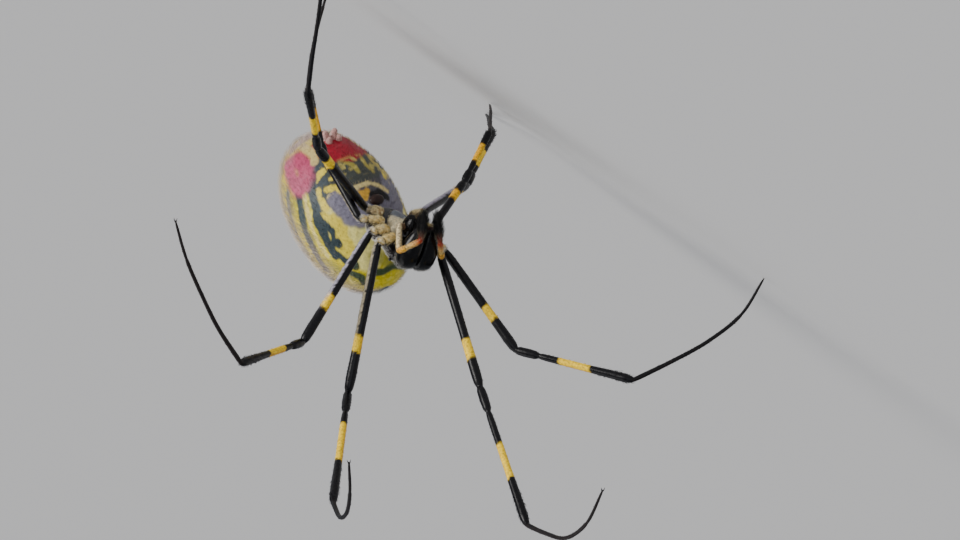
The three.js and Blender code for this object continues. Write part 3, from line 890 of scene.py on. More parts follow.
@dataclass(frozen=True)
class Head:
    """The head part: carapace, breastplate, lip and mouth plates, waist, and the palps."""

    stations: tuple[Station, ...] = (  # forward, half width, height above, depth below
        (0, 0.55, 0.4, 0.3), (0.25, 1.25, 0.72, 0.5), (0.8, 2.0, 1.02, 0.62), (1.6, 2.6, 1.2, 0.7),
        (2.5, 2.85, 1.28, 0.75), (3.3, 2.75, 1.25, 0.75), (3.9, 2.35, 1.22, 0.72), (4.4, 1.98, 1.26, 0.7),
        (5.0, 1.8, 1.32, 0.65), (5.6, 1.72, 1.3, 0.6), (6.1, 1.58, 1.1, 0.5), (6.4, 1.28, 0.8, 0.35),
        (6.5, 0.85, 0.5, 0.15))
    inset: float = 0.05  # of the skin inside the solid, mm
    rows: int = 96
    cols: int = 88

    def carapace(self) -> Patch:
        """Builds the shield over the head part and its underside.

        Returns:
            The patch of the skin.
        """
        count = len(self.stations)
        grid = follow(np.linspace(0, count - 1, self.rows), range(count), self.stations)
        relax(grid, 4)
        angle = (TURN * np.arange(self.cols) / self.cols)[None]
        c, s = np.cos(angle), np.sin(angle)
        square = 1 / (np.abs(c) ** 2.3 + np.abs(s) ** 2.3) ** (1 / 2.3)
        x = np.broadcast_to(grid[:, :1], (self.rows, self.cols))
        y = (grid[:, 1:2] - self.inset) * c * square
        w = np.where(s < 0, grid[:, 2:3] - self.inset, grid[:, 3:4] - self.inset) * s * square
        top = ease(0.1, -0.5, w)
        # The groove between head and chest, the pit of the back and the low brow
        arc = 3.4 + 0.45 * np.abs(y) ** 1.2
        dent = -0.13 * np.exp(-((x - arc) / 0.22) ** 2) * ease(2.6, 1.6, np.abs(y))
        dent = dent - 0.22 * np.exp(-((x - 2.2) / 0.4) ** 2 - (y / 0.2) ** 2)
        for slope in (0.9, 1.6, 2.3):
            ray = np.exp(-((np.abs(y) * 1.5 - np.abs(x - 2.2) * slope) / 0.16) ** 2)
            dent = dent - 0.04 * ray * ease(0.4, 1.0, np.abs(y))
        w = w - dent * top
        place = HEAD.at(x, y, w)
        grit = noise(place, 0.35, 31)
        colour = blend(np.broadcast_to(rgb(30, 22, 22), place.shape), rgb(58, 40, 34), ease(0, 1, grit))
        colour = blend(colour, rgb(24, 20, 22), ease(0.0, 0.25, w))
        hairy = 62 * ease(-0.05, -0.4, w) * ease(6.5, 5.9, x) * ease(0.1, 0.6, x + 0.5 * np.abs(y))
        hairy = (hairy + 30 * ease(0.3, -0.1, w)) * clear_of_eyes(place)
        dusk = ease(0.0, 0.9, noise(place, 0.8, 32))
        tint = blend(np.broadcast_to(SILVER, place.shape), rgb(150, 136, 112), dusk)
        return Patch("carapace", place, colour, 0.36 + 0.1 * grit, Finish.CARAPACE, hairy, 0.36 + 0.06 * grit,
                     tint, 20.0)

    @staticmethod
    def lump(name: str, centre: Point, half: Point, colour: np.ndarray, rough: float, density: float,
             point: float = 0.0) -> Patch:
        """Builds a rounded plate under the head.

        Args:
            name: Its name.
            centre: Forward, left and down, mm.
            half: Its half sizes, mm.
            colour: Linear colour.
            rough: Roughness.
            density: Hairs per square mm.
            point: How much its rear draws in to a point.

        Returns:
            The patch.
        """
        x, y, w = ball(0.07, 30, 32)
        y = y * (1 - point * np.maximum(0.5 - 0.5 * x, 0.0) ** 1.5)
        place = HEAD.at(centre[0] + half[0] * x, centre[1] + half[1] * y, centre[2] + half[2] * w)
        patch = Patch.bare(name, place, colour, rough, Finish.CUTICLE)
        patch.colour *= (1 + 0.35 * noise(place, 0.3, 41))[..., None]
        patch.density[:] = density
        patch.length[:] = 0.26
        patch.tint[:] = CREAM
        return patch

    def plates(self) -> list[Patch]:
        """Builds the breastplate, the lip and the two mouth plates.

        Returns:
            Their patches.
        """
        # The breastplate's blue-grey is a painted reflection of the sky on its glossy black; its rim is cream
        # hair
        shield = self.lump("breastplate", (2.95, 0, 0.86), (1.8, 1.44, 0.6), rgb(90, 96, 106), 0.36, 14.0,
                           0.55)
        own = HEAD.own(shield.place)
        out = np.hypot((own[..., 0] - 2.0) / 1.25, own[..., 1]) + 0.12 * noise(shield.place, 0.3, 42)
        rim = ease(0.55, 0.95, out)
        shield.colour = blend(shield.colour, rgb(222, 208, 172), rim)
        shield.density = 8 + 130 * rim
        shield.length[:] = 0.32
        shield.tint[:] = rgb(244, 236, 210)
        made = [shield, self.lump("lip", (4.15, 0, 1.6), (0.5, 0.36, 0.6), rgb(12, 11, 13), 0.2, 16.0)]
        for side in Side:
            plate = self.lump(f"mouth_{side.name}", (4.75, side * 0.52, 2.05), (0.81, 0.47, 1.36),
                              rgb(9, 8, 10), 0.16, 0.0)
            tip = ease(2.5, 3.1, HEAD.own(plate.place)[..., 2])
            plate.density = 90 * tip
            plate.length[:] = 0.75
            plate.tint[:] = rgb(22, 18, 18)
            plate.rise = 55.0
            made.append(plate)
        return made

    def waist(self) -> Patch:
        """Builds the narrow waist.

        Returns:
            The patch of the skin.
        """
        start, end = HEAD.at(0.4, 0, 0), RUMP.at(3.0, 0.7, 3.6)
        t = np.linspace(0, 1, 30)
        place = tube(start + (end - start) * t[:, None], 0.39 * (1 - 0.16 * np.sin(math.pi * t)), 20)
        return Patch.bare("waist", place, rgb(58, 44, 38), 0.45, Finish.CUTICLE)

    def palps(self) -> list[Patch]:
        """Builds the palps: pale speckled thigh, orange knee and shin, red-brown to black hairy foot.

        Returns:
            Their two patches.
        """
        made = []
        t = np.linspace(-0.28, 3, 126)
        tones = [rgb(120, 92, 66), rgb(226, 210, 168), rgb(222, 200, 150), rgb(222, 158, 38),
                 rgb(226, 168, 46), rgb(226, 190, 108), rgb(218, 164, 84), rgb(150, 52, 24),
                 rgb(84, 24, 18), rgb(16, 13, 15)]
        tone = follow(t, [-0.1, 0.08, 0.88, 1.0, 1.3, 1.42, 1.72, 1.98, 2.14, 2.36], tones)
        down = rgb(232, 214, 172)
        fur = follow(t, [0, 1.7, 2.05, 2.3], [down, 0.85 * down, 0.3 * down, np.full(3, 0.008)])
        size = 0.25 * np.interp(
            t, [-0.28, 0, 0.06, 0.15, 0.5, 0.9, 1.0, 1.08, 1.25, 1.34, 1.4, 1.7, 1.95, 2.03, 2.12, 2.4, 2.75,
                2.93, 3],
            [1.2, 0.95, 0.8, 1.0, 1.08, 1.02, 0.8, 1.05, 1.12, 1.0, 0.86, 1.04, 1.0, 0.78, 0.98, 1.2, 1.12,
             0.8, 0.3])
        for side in Side:
            joints = [HEAD.at(x, side * y, w) for x, y, w in PALP_JOINTS[side]]
            line = follow(t, [-0.28, 0, 1, 2, 3], joints)
            relax(line, 5)
            place = tube(line, size, 20)
            speck = noise(place, 0.085, 51)
            colour = tone[:, None] * (1 + 0.12 * noise(place, 0.3, 52))[..., None]
            colour = blend(colour, rgb(70, 44, 30), 0.8 * ease(0.16, 0.4, speck) * ease(2.0, 1.8, t)[:, None])
            ring = 0.7 * ease(0.09, 0.04, np.abs(t - 1.37))[:, None] * ease(-0.2, 0.3, speck)
            colour = blend(colour, rgb(40, 20, 16), ring)
            made.append(Patch(f"palp_{side.name}", place, colour, np.full(place.shape[:2], 0.42),
                              Finish.CUTICLE,
                              along(np.interp(t, [-0.1, 0.1, 1, 2, 2.3], [20, 44, 26, 36, 190]), place),
                              along(np.interp(t, [0, 1.9, 2.3, 3], [0.17, 0.17, 0.5, 0.56]), place),
                              np.broadcast_to(fur[:, None], place.shape).copy(), 36.0))
        return made


class Skin:
    """The one skin of body, legs and palps."""

    def __init__(self) -> None:
        """Gathers its patches and lays out its unwrap."""
        head, rump = Head(), Abdomen()
        self.patches: list[Patch] = [rump.patch(), *rump.spinnerets(), head.carapace(), *head.plates(),
                                     head.waist(), *head.palps(), *(leg.patch() for leg in LEGS)]
        self.jaws: list[Patch] = Jaws().patches()
        shelve([*self.patches, *self.jaws])

    def named(self, *starts: str) -> list[Patch]:
        """Lists the patches whose names start with one of the given words."""
        return [p for p in self.patches if p.name.startswith(starts)]

    def build(self, materials: Sequence[bpy.types.Material]) -> bpy.types.Object:
        """Makes the skin's object.

        Args:
            materials: Its materials in the order of Finish.

        Returns:
            The object.
        """
        return surface("spider_skin", self.patches, materials)


def surface(name: str, patches: Sequence[Patch], materials: Sequence[bpy.types.Material]) -> bpy.types.Object:
    """Makes one object of closed patches with their colours, roughness and unwrap.

    Args:
        name: Name of the object.
        patches: The patches.
        materials: The materials in the order of Finish.

    Returns:
        The object.
    """
    places, faces, slots, tints, roughs, unwrap = [], [], [], [], [], []
    first = 0
    for patch in patches:
        rows, cols = patch.place.shape[:2]
        ends = np.stack([patch.place[0].mean(0), patch.place[-1].mean(0)])
        places += [patch.place.reshape(-1, 3), ends]
        tints += [patch.colour.reshape(-1, 3), np.stack([patch.colour[0].mean(0), patch.colour[-1].mean(0)])]
        roughs += [patch.rough.reshape(-1), [patch.rough[0].mean(), patch.rough[-1].mean()]]
        made = patch.faces(first)
        faces += made
        slots += [int(patch.finish)] * len(made)
        for face in made:
            k = np.array(face) - first
            r, c = k // cols, k % cols
            pole = k >= rows * cols
            wrap = (c.max() - c.min() > 1) & (c == 0) & ~pole
            u = np.where(wrap, cols, c) / cols
            u = np.where(pole, u[~pole].mean(), u)
            v = np.where(pole, (k - rows * cols) * 1.0, r / (rows - 1))
            unwrap.append(patch.atlas(u, v))
        first += rows * cols + 2
    mesh = bpy.data.meshes.new(name)
    mesh.from_pydata((np.concatenate(places) * MM).tolist(), [], faces)
    for material in materials:
        mesh.materials.append(material)
    mesh.polygons.foreach_set("material_index", slots)
    mesh.polygons.foreach_set("use_smooth", [True] * len(faces))
    tint_points(mesh, np.concatenate(tints))
    mesh.attributes.new("rough", "FLOAT", "POINT").data.foreach_set("value", np.concatenate(roughs))
    mesh.uv_layers.new(name="unwrap").data.foreach_set("uv", np.concatenate(unwrap).ravel())
    mesh.update()
    return add(name, mesh)


@dataclass(frozen=True)
class Coat:
    """A share of the hair: tapered, bent tufts rooted in patches of the skin."""

    name: str
    slot: str
    radius: float = 0.013  # of a tuft at its root, mm
    seed: int = 1
    patch_size: float = 0.003  # of a tuft's patch in OFBake
    depth: float = 0.02  # of the root under the skin, mm
    stray: float = 0.16  # spread to the sides, radians
    ruffle: float = 7.0  # spread of the rise, degrees
    lengths: tuple[float, float] = (0.65, 1.2)  # shares drawn from
    shades: tuple[float, float] = (0.72, 1.2)
    middle: float = 0.8  # girth at half length
    droop: float = 0.45  # share of the rise that the tip keeps

    def grow(self, patches: Sequence[Patch], material: bpy.types.Material) -> bpy.types.Object:
        """Grows the tufts as one mesh.

        Args:
            patches: The patches that carry it.
            material: The hair's material.

        Returns:
            The object.
        """
        draw = np.random.default_rng(self.seed)
        batches = [self.roots(patch, draw) for patch in patches]
        root, normal, lie, long, tint, spot = (np.concatenate([b[k] for b in batches]) for k in range(6))
        n = len(root)
        side = unit(np.cross(normal, lie))
        turn = draw.normal(0, self.stray, n)[:, None]
        lie = unit(lie * np.cos(turn) + side * np.sin(turn))
        side = unit(np.cross(normal, lie))
        lift = np.concatenate([np.full(len(b[0]), p.rise) for b, p in zip(batches, patches)])
        lift = np.radians(lift + draw.normal(0, self.ruffle, n))[:, None]
        way = lie * np.cos(lift) + normal * np.sin(lift)
        far = lie * np.cos(lift * self.droop) + normal * np.sin(lift * self.droop)
        long = long[:, None] * draw.uniform(*self.lengths, n)[:, None]
        base = root - normal * self.depth
        bend = root + way * long * 0.5
        tip = bend + far * long * 0.5
        across = np.cross(side, way)
        rings = []
        for centre, size in ((base, 1.0), (bend, self.middle)):
            for k in range(3):
                a = TURN * k / 3
                rings.append(centre + (side * math.cos(a) + across * math.sin(a)) * self.radius * size)
        place = np.stack([*rings, tip], 1).reshape(-1, 3)
        at = 7 * np.arange(n)[:, None]
        quads = np.array([(0, 1, 4, 3), (1, 2, 5, 4), (2, 0, 3, 5)])
        points = np.array([(3, 4, 6), (4, 5, 6), (5, 3, 6), (2, 1, 0)])
        faces = (at[:, None] + quads[None]).reshape(-1, 4).tolist()
        faces += (at[:, None] + points[None]).reshape(-1, 3).tolist()
        mesh = bpy.data.meshes.new(self.name)
        mesh.from_pydata((place * MM).tolist(), [], faces)
        mesh.materials.append(material)
        mesh.polygons.foreach_set("use_smooth", [True] * len(faces))
        tint_points(mesh, np.repeat(tint * draw.uniform(*self.shades, n)[:, None], 7, axis=0))
        local = np.array([(-1, -1), (0, -1), (1, -1), (-1, 0.2), (0, 0.2), (1, 0.2), (0, 1)])
        spots = (spot[:, None] + local[None] * self.patch_size / 2).reshape(-1, 2)
        loops = np.empty(len(mesh.loops), np.int32)
        mesh.loops.foreach_get("vertex_index", loops)
        mesh.uv_layers.new(name="OFBake").data.foreach_set("uv", spots[loops].ravel())
        mesh.update()
        LOG.info("%s: %d hairs, %d triangles", self.name, n, 10 * n)
        return add(self.name, mesh)

    @staticmethod
    def roots(patch: Patch, draw: np.random.Generator) -> tuple[np.ndarray, ...]:
        """Draws where hair grows on a patch.

        Args:
            patch: The patch.
            draw: The seeded draw.

        Returns:
            Roots, normals, directions of the lie, lengths, colours and places on the unwrap.
        """
        near, far = patch.place[:-1], patch.place[1:]
        a, b = near, np.roll(near, -1, 1)
        d, c = far, np.roll(far, -1, 1)
        out = np.cross(c - a, d - b)
        size = 0.5 * np.linalg.norm(out, axis=-1)
        middle = (a + b + c + d) / 4
        ring = middle.mean(1, keepdims=True)
        out = unit(out) * np.sign(((middle - ring) * out).sum(-1, keepdims=True))
        want = size * 0.5 * (patch.density[:-1] + patch.density[1:])
        count = draw.poisson(want)
        r, k = np.nonzero(count)
        times = count[r, k]
        r, k = np.repeat(r, times), np.repeat(k, times)
        u, v = draw.random(len(r))[:, None], draw.random(len(r))[:, None]

        def mix(grid: np.ndarray) -> np.ndarray:
            """Reads between the points of a grid at the drawn places.

            Args:
                grid: Values of the patch's points.

            Returns:
                A row for each drawn place.
            """
            low, high = (rows[r, k] * (1 - u) + np.roll(rows, -1, 1)[r, k] * u
                         for rows in (grid[:-1], grid[1:]))
            return low * (1 - v) + high * v

        normal = unit(out[r, k])
        run = unit(patch.place[1:][r, k] - patch.place[:-1][r, k])
        lie = unit(run - normal * (run * normal).sum(-1, keepdims=True))
        if patch.name in ("abdomen", "carapace"):
            lie = -lie
        rows, cols = patch.place.shape[:2]
        spot = patch.atlas((k + u[:, 0]) / cols, (r + v[:, 0]) / (rows - 1))
        return mix(patch.place), normal, lie, mix(patch.length[..., None])[:, 0], mix(patch.tint), spot


@dataclass(frozen=True)
class Jaws:
    """The two chelicerae with their folded fangs."""

    radius: float = 0.86  # mm
    length: float = 3.86  # mm down the head
    top: float = -0.23
    rings: int = 76
    sides: int = 44
    fang_rings: int = 34
    gap: float = 0.015  # half of the slit between the jaws, mm
    stations: tuple[Station, ...] = (  # share of the length, forward, outward, girth
        (0.16, 5.9, 0.75, 0.5), (0.1, 6.45, 0.86, 0.7), (0.08, 6.92, 0.94, 0.86), (0.2, 7.2, 0.95, 1.02),
        (0.4, 7.14, 0.95, 1.0), (0.6, 6.98, 0.88, 0.9), (0.8, 6.84, 0.74, 0.74), (0.93, 6.76, 0.62, 0.55),
        (0.985, 6.73, 0.59, 0.36), (1, 6.72, 0.58, 0.16))
    fang: tuple[Point, ...] = (
        (6.72, 0.66, 3.5), (6.42, 0.66, 3.52), (6.18, 0.58, 3.32), (6.06, 0.48, 3.04), (6.02, 0.4, 2.77))

    def patches(self) -> list[Patch]:
        """Builds the shells and fangs of both jaws.

        Returns:
            Their patches.
        """
        made = []
        count = len(self.stations)
        step = np.linspace(0, count - 1, self.rings)
        t, x, y, girth = follow(step, range(count), self.stations).T
        s = np.linspace(0, 4, self.fang_rings)
        route = follow(s, range(5), self.fang)
        relax(route, 6)
        forward, left, _ = HEAD.axes()
        for side in Side:
            line = HEAD.at(x, side * y, self.top + self.length * t)
            size = self.radius * girth
            relax(line, 3)
            relax(size, 3)
            place = tube(line, size, self.sides, forward)
            out = unit(place - line[:, None])
            c, f = np.maximum(-side * (out @ left), 0), np.maximum(out @ forward, 0)
            full = 1 / np.maximum(c ** 4 + (1 - c ** 2) ** 2, 1e-6) ** 0.25
            # Only the inner front is squared, so that both jaws read as one ball
            full = np.where((c > 0) & (f > 0), full, 1.0)
            place = line[:, None] + (place - line[:, None]) * full[..., None]
            inward = -side * ((place - line[:, None]) @ left)
            room = (y / size)[:, None] - self.gap
            place = place - side * (np.maximum(inward, 0) * (np.clip(room, 1.0, 1.25) - 1))[..., None] * left
            grit = noise(place, 0.25, 61)
            shell = Patch.bare(f"jaw_{side.name}", place, rgb(6, 5, 7), 0.24, Finish.CUTICLE)
            shell.colour *= (1 + 0.35 * grit)[..., None]
            brow = ease(3.1, 2.2, step)[:, None] * ease(-0.2, 0.5, out @ forward + 0.5 * side * (out @ left))
            shell.colour = blend(shell.colour, rgb(96, 94, 92), 0.7 * brow)
            shell.density[:] = clear_of_eyes(place) * (3 + 130 * brow + 70 * ease(6.2, 7.3, step)[:, None])
            shell.length[:] = 0.26 + 0.5 * ease(6.0, 7.3, step)[:, None]
            shell.tint[:] = blend(np.broadcast_to(rgb(30, 26, 26), place.shape), SILVER, brow)
            shell.rise = 38.0
            place = tube(HEAD.at(route[:, 0], side * route[:, 1], route[:, 2]),
                         np.interp(s, [0, 1, 2.5, 4], [0.22, 0.18, 0.11, 0.02]), 16)
            made += [shell, Patch.bare(f"fang_{side.name}", place, rgb(70, 22, 14), 0.18, Finish.CUTICLE)]
        return made


class Tree:
    """A small builder for a node tree."""

    def __init__(self, group: bpy.types.NodeTree, sizes: Optional[dict[str, object]] = None,
                 results: Sequence[str] = ()) -> None:
        """Gives the tree its named inputs and outputs.

        Args:
            group: The tree.
            sizes: Inputs with their values, None for the geometry.
            results: Outputs.
        """
        self.group = group
        self.sizes = sizes or {}
        for way, names in (("INPUT", self.sizes), ("OUTPUT", results)):
            for key in names:
                kind = {"Geometry": "Geometry", "Colour": "Color"}.get(key, "Float")
                socket = group.interface.new_socket(key, in_out=way, socket_type=f"NodeSocket{kind}")
                if way == "INPUT" and self.sizes[key] is not None:
                    socket.default_value = self.sizes[key]

    def feed(self, node: bpy.types.Node, given: dict[object, object]) -> None:
        """Sets inputs of a node.

        Args:
            node: The node.
            given: For each input its value, or the output that is linked to it.
        """
        for key, value in given.items():
            if isinstance(value, bpy.types.NodeSocket):
                self.group.links.new(value, node.inputs[key])
            else:
                node.inputs[key].default_value = value

    def node(self, kind: str, given: Optional[dict[object, object]] = None,
             **values: object) -> bpy.types.Node:
        """Adds a node.

        Args:
            kind: Its type.
            given: Its inputs, as feed takes them.
            **values: Its properties.

        Returns:
            The node.
        """
        made = self.group.nodes.new(kind)
        for key, value in values.items():
            setattr(made, key, value)
        self.feed(made, given or {})
        return made

    def calculate(self, operation: str, *values: object) -> bpy.types.NodeSocket:
        """Adds a sum of numbers or outputs and gives its result."""
        return self.node("ShaderNodeMath", dict(enumerate(values)), operation=operation).outputs[0]

    def read(self, name: str, kind: str) -> bpy.types.NodeSocket:
        """Reads an attribute of the points."""
        made = self.node("GeometryNodeInputNamedAttribute", {"Name": name}, data_type=kind)
        return made.outputs["Attribute"]

    def bake(self, thing: bpy.types.Object, name: str) -> bpy.types.Object:
        """Runs the tree on an object and keeps the result as a plain mesh.

        Args:
            thing: The object whose mesh goes in.
            name: Name of the result.

        Returns:
            The plain object.
        """
        modifier = thing.modifiers.new("tree", "NODES")
        modifier.node_group = self.group
        for item in self.group.interface.items_tree:
            if item.in_out == "INPUT" and self.sizes.get(item.name) is not None:
                modifier[item.identifier] = self.sizes[item.name]
        bpy.context.view_layer.update()
        mesh = bpy.data.meshes.new_from_object(thing.evaluated_get(bpy.context.evaluated_depsgraph_get()))
        mesh.name = name
        bpy.data.objects.remove(thing)
        return add(name, mesh)


def template(name: str, patch: Patch) -> bpy.types.Object:
    """Makes a hidden shape for a tree to repeat.

    Args:
        name: Its name.
        patch: Its skin, in units of one.

    Returns:
        The object, which is in no collection.
    """
    ends = np.stack([patch.place[0].mean(0), patch.place[-1].mean(0)])
    mesh = bpy.data.meshes.new(name)
    mesh.from_pydata(np.vstack([patch.place.reshape(-1, 3), ends]).tolist(), [], patch.faces(0))
    mesh.polygons.foreach_set("use_smooth", [True] * len(mesh.polygons))
    return bpy.data.objects.new(name, mesh)


def repeated(name: str, spots: np.ndarray, ways: np.ndarray, rolls: np.ndarray, sizes: np.ndarray,
             shape: bpy.types.Object, material: bpy.types.Material) -> bpy.types.Object:
    """Repeats a shape at points by Geometry Nodes, its Z axis along each way.

    Args:
        name: Name of the result.
        spots: Points, mm.
        ways: Direction of the shape's Z axis at each.
        rolls: Direction that the shape's X axis leans to at each.
        sizes: Scale at each, mm.
        shape: The repeated shape.
        material: Its material.

    Returns:
        The plain object.
    """
    points = bpy.data.meshes.new(f"{name}_points")
    points.from_pydata((spots * MM).tolist(), [], [])
    for key, rows in (("way", ways), ("roll", rolls)):
        points.attributes.new(key, "FLOAT_VECTOR", "POINT").data.foreach_set("vector", rows.ravel())
    points.attributes.new("size", "FLOAT", "POINT").data.foreach_set("value", sizes * MM)
    carrier = add(f"{name}_points", points)
    tree = Tree(bpy.data.node_groups.new(f"repeat_{name}", "GeometryNodeTree"),
                {"Geometry": None, "Size": 1.0}, ["Geometry"])
    given = tree.node("NodeGroupInput").outputs
    info = tree.node("GeometryNodeObjectInfo", {"Object": shape})
    turn = {}
    for key, axis, pivot in (("way", "Z", "AUTO"), ("roll", "X", "Z")):
        given_way = {"Vector": tree.read(key, "FLOAT_VECTOR"), **turn}
        align = tree.node("FunctionNodeAlignRotationToVector", given_way, axis=axis, pivot_axis=pivot)
        turn = {"Rotation": align.outputs["Rotation"]}
    scale = tree.calculate("MULTIPLY", tree.read("size", "FLOAT"), given["Size"])
    put = tree.node("GeometryNodeInstanceOnPoints", {
        "Points": given["Geometry"], "Instance": info.outputs["Geometry"], "Scale": scale, **turn})
    real = tree.node("GeometryNodeRealizeInstances", {"Geometry": put.outputs["Instances"]})
    dress = tree.node("GeometryNodeSetMaterial", {"Geometry": real.outputs["Geometry"], "Material": material})
    tree.node("NodeGroupOutput", {"Geometry": dress.outputs["Geometry"]})
    return tree.bake(carrier, name)


@dataclass(frozen=True)
class Eyes:
    """The eight eyes in two rows."""

    spots: tuple[Station, ...] = EYE_SPOTS
    proud: float = 0.035  # how far they stand out, mm

    def build(self, material: bpy.types.Material) -> bpy.types.Object:
        """Sets the eyes by a tree that repeats one lens.

        Args:
            material: Dark glass.

        Returns:
            The object.
        """
        spots = np.array([HEAD.at(x, side * y, w) for side in Side for x, y, w, _ in self.spots])
        middle = HEAD.at(4.9, 0, -0.3)
        out, one, two = ball(0.1, 16, 24)
        lens = template("lens", Patch.bare("lens", np.stack([one, two, out], -1), BLACK, 0.1, Finish.CUTICLE))
        ways = unit(spots - middle)
        spots = spots + self.proud * ways
        sizes = np.array([r for _ in Side for *_, r in self.spots])
        return repeated("eyes", spots, ways, np.tile(HEAD.axes()[1], (8, 1)), sizes, lens, material)


@dataclass(frozen=True)
class Claws:
    """Two claws and a small hook at each foot."""

    length: float = 0.34  # mm
    ground: float = 0.2  # height of a standing foot's claws, mm
    ground_share: float = 0.55  # of their length

    def build(self, material: bpy.types.Material) -> bpy.types.Object:
        """Sets the claws by a tree that repeats one hook.

        Args:
            material: Dark horn.

        Returns:
            The object.
        """
        t = np.linspace(0, 1, 12)
        arc = np.stack([0.5 * (1 - np.cos(1.5 * t)), 0 * t, np.sin(1.5 * t)], -1)
        horn = tube(arc, 0.16 * (1.02 - t) ** 0.7, 8, np.array([0.0, 1.0, 0.0]))
        hook = template("hook", Patch.bare("hook", horn, BLACK, 0.2, Finish.CUTICLE))
        spots, ways, rolls, sizes = [], [], [], []
        for leg in LEGS:
            j = leg.joints()
            out = unit(j[8] - j[7])
            inner = unit(j[3] - j[8])
            curl = np.array([0.0, 0.0, -1.0]) if leg.stands else unit(inner - out * (inner @ out))
            side = unit(np.cross(out, curl))
            for share, reach in ((1, 1.0), (-1, 1.0), (0, 0.6)):
                way = unit(out + side * 0.35 * share + (np.array([0, 0, 0.25]) if leg.stands else 0))
                spot = j[8] - out * 0.16 + side * 0.05 * share
                if leg.stands:
                    spot[2] = self.ground
                    way = unit(way * np.array([1, 1, 0.0]) + np.array([0, 0, -0.05]))
                spots.append(spot)
                ways.append(way)
                rolls.append(curl)
                sizes.append(self.length * reach * (self.ground_share if leg.stands else 1.0))
        return repeated("claws", *(np.array(rows) for rows in (spots, ways, rolls, sizes)), hook, material)


def blank(name: str) -> tuple[bpy.types.Material, Tree, bpy.types.Node]:
    """Makes a material with its shader only.

    Args:
        name: Its name.

    Returns:
        The material, a builder for its tree and the shader.
    """
    made = bpy.data.materials.new(name)
    made.use_nodes = True
    return made, Tree(made.node_tree), made.node_tree.nodes["Principled BSDF"]


def grain_group() -> bpy.types.NodeTree:
    """Makes the group that mottles a colour and gives roughness and height for the bump.

    Returns:
        The node group.
    """
    tree = Tree(bpy.data.node_groups.new("cuticle_grain", "ShaderNodeTree"),
                {"Colour": (0.1, 0.1, 0.1, 1), "Rough": 0.4, "Scale": 4000.0, "Mottle": 0.3, "Spread": 0.2},
                ["Colour", "Rough", "Height"])
    given = tree.node("NodeGroupInput").outputs
    where = tree.node("ShaderNodeTexCoord").outputs["Object"]
    coarse = tree.node("ShaderNodeTexNoise", {"Vector": where, "Scale": given["Scale"], "Detail": 4.0})
    lumps = coarse.outputs[0]
    fine = tree.calculate("MULTIPLY", given["Scale"], 3.1)
    pits = tree.node("ShaderNodeTexVoronoi", {"Vector": where, "Scale": fine}).outputs["Distance"]
    shade = tree.node("ShaderNodeMapRange", {
        "Value": lumps, "From Min": 0.3, "From Max": 0.7,
        "To Min": tree.calculate("SUBTRACT", 1.0, given["Mottle"]),
        "To Max": tree.calculate("ADD", 1.0, given["Mottle"])}).outputs[0]
    tone = tree.node("ShaderNodeVectorMath", operation="SCALE")
    tree.feed(tone, {0: given["Colour"], "Scale": shade})
    swing = tree.calculate("SUBTRACT", lumps, 0.5)
    tree.node("NodeGroupOutput", {
        "Colour": tone.outputs[0],
        "Rough": tree.calculate("MULTIPLY_ADD", swing, given["Spread"], given["Rough"]),
        "Height": tree.calculate("MULTIPLY_ADD", pits, 0.5, lumps)})
    return tree.group


@dataclass(frozen=True)
class Sheen:
    """A grained material."""

    name: str
    scale: float  # lumps of grain a metre
    mottle: float  # share by which the grain changes the colour
    spread: float  # how far it changes the roughness
    bump: float  # its height, metres
    specular: float = 0.5
    varnish: float = 0.0
    varnish_rough: float = 0.03
    colour: Optional[Point] = None  # one display colour, else the tint attribute gives it
    rough: float = 0.5  # with a colour, else the rough attribute gives it
    relief: float = 0.6  # strength of the bump

    def build(self, grain: bpy.types.NodeTree) -> bpy.types.Material:
        """Makes the material.

        Args:
            grain: The shared group.

        Returns:
            The material.
        """
        made, tree, shader = blank(self.name)
        if self.colour is None:
            tint, rough = (tree.node("ShaderNodeAttribute", attribute_name=key) for key in ("tint", "rough"))
            given = {"Colour": tint.outputs["Color"], "Rough": rough.outputs["Fac"]}
        else:
            given = {"Colour": (*rgb(*self.colour), 1), "Rough": self.rough}
        given.update({"Scale": self.scale, "Mottle": self.mottle, "Spread": self.spread})
        shown = tree.node("ShaderNodeGroup", given, node_tree=grain).outputs
        rise = tree.node("ShaderNodeBump", {
            "Strength": self.relief, "Distance": self.bump, "Height": shown["Height"]})
        tree.feed(shader, {
            "Base Color": shown["Colour"], "Roughness": shown["Rough"], "Normal": rise.outputs["Normal"],
            "Specular IOR Level": self.specular, "Coat Weight": self.varnish,
            "Coat Roughness": self.varnish_rough})
        return made


SKIN_SHEENS = (  # in the order of Finish
    Sheen("black_cuticle", 5200.0, 0.35, 0.16, 0.000012, 0.25),
    Sheen("belly_skin", 3600.0, 0.16, 0.16, 0.000016, 0.3),
    Sheen("carapace_shell", 4200.0, 0.3, 0.2, 0.00002, 0.34))
JAW_SHEEN = Sheen("jaw_shell", 4200.0, 0.3, 0.12, 0.000008, 0.22, 0.12, 0.1)
EYE_SHEEN = Sheen("eye_glass", 3000.0, 0.3, 0.15, 0.000002, varnish=0.6, colour=(10, 9, 12), rough=0.06)
CLAW_SHEEN = Sheen("claw_horn", 6000.0, 0.3, 0.15, 0.000006, colour=(24, 18, 18), rough=0.3)


def hair_material(rough: float = 0.48, specular: float = 0.25) -> bpy.types.Material:
    """Makes the hair's material, which takes its colour from each tuft.

    Args:
        rough: Roughness.
        specular: Strength of its gloss.

    Returns:
        The material.
    """
    made, tree, shader = blank("fine_hair")
    tint = tree.node("ShaderNodeAttribute", attribute_name="tint").outputs["Color"]
    tree.feed(shader, {"Base Color": tint, "Roughness": rough, "Specular IOR Level": specular})
    return made


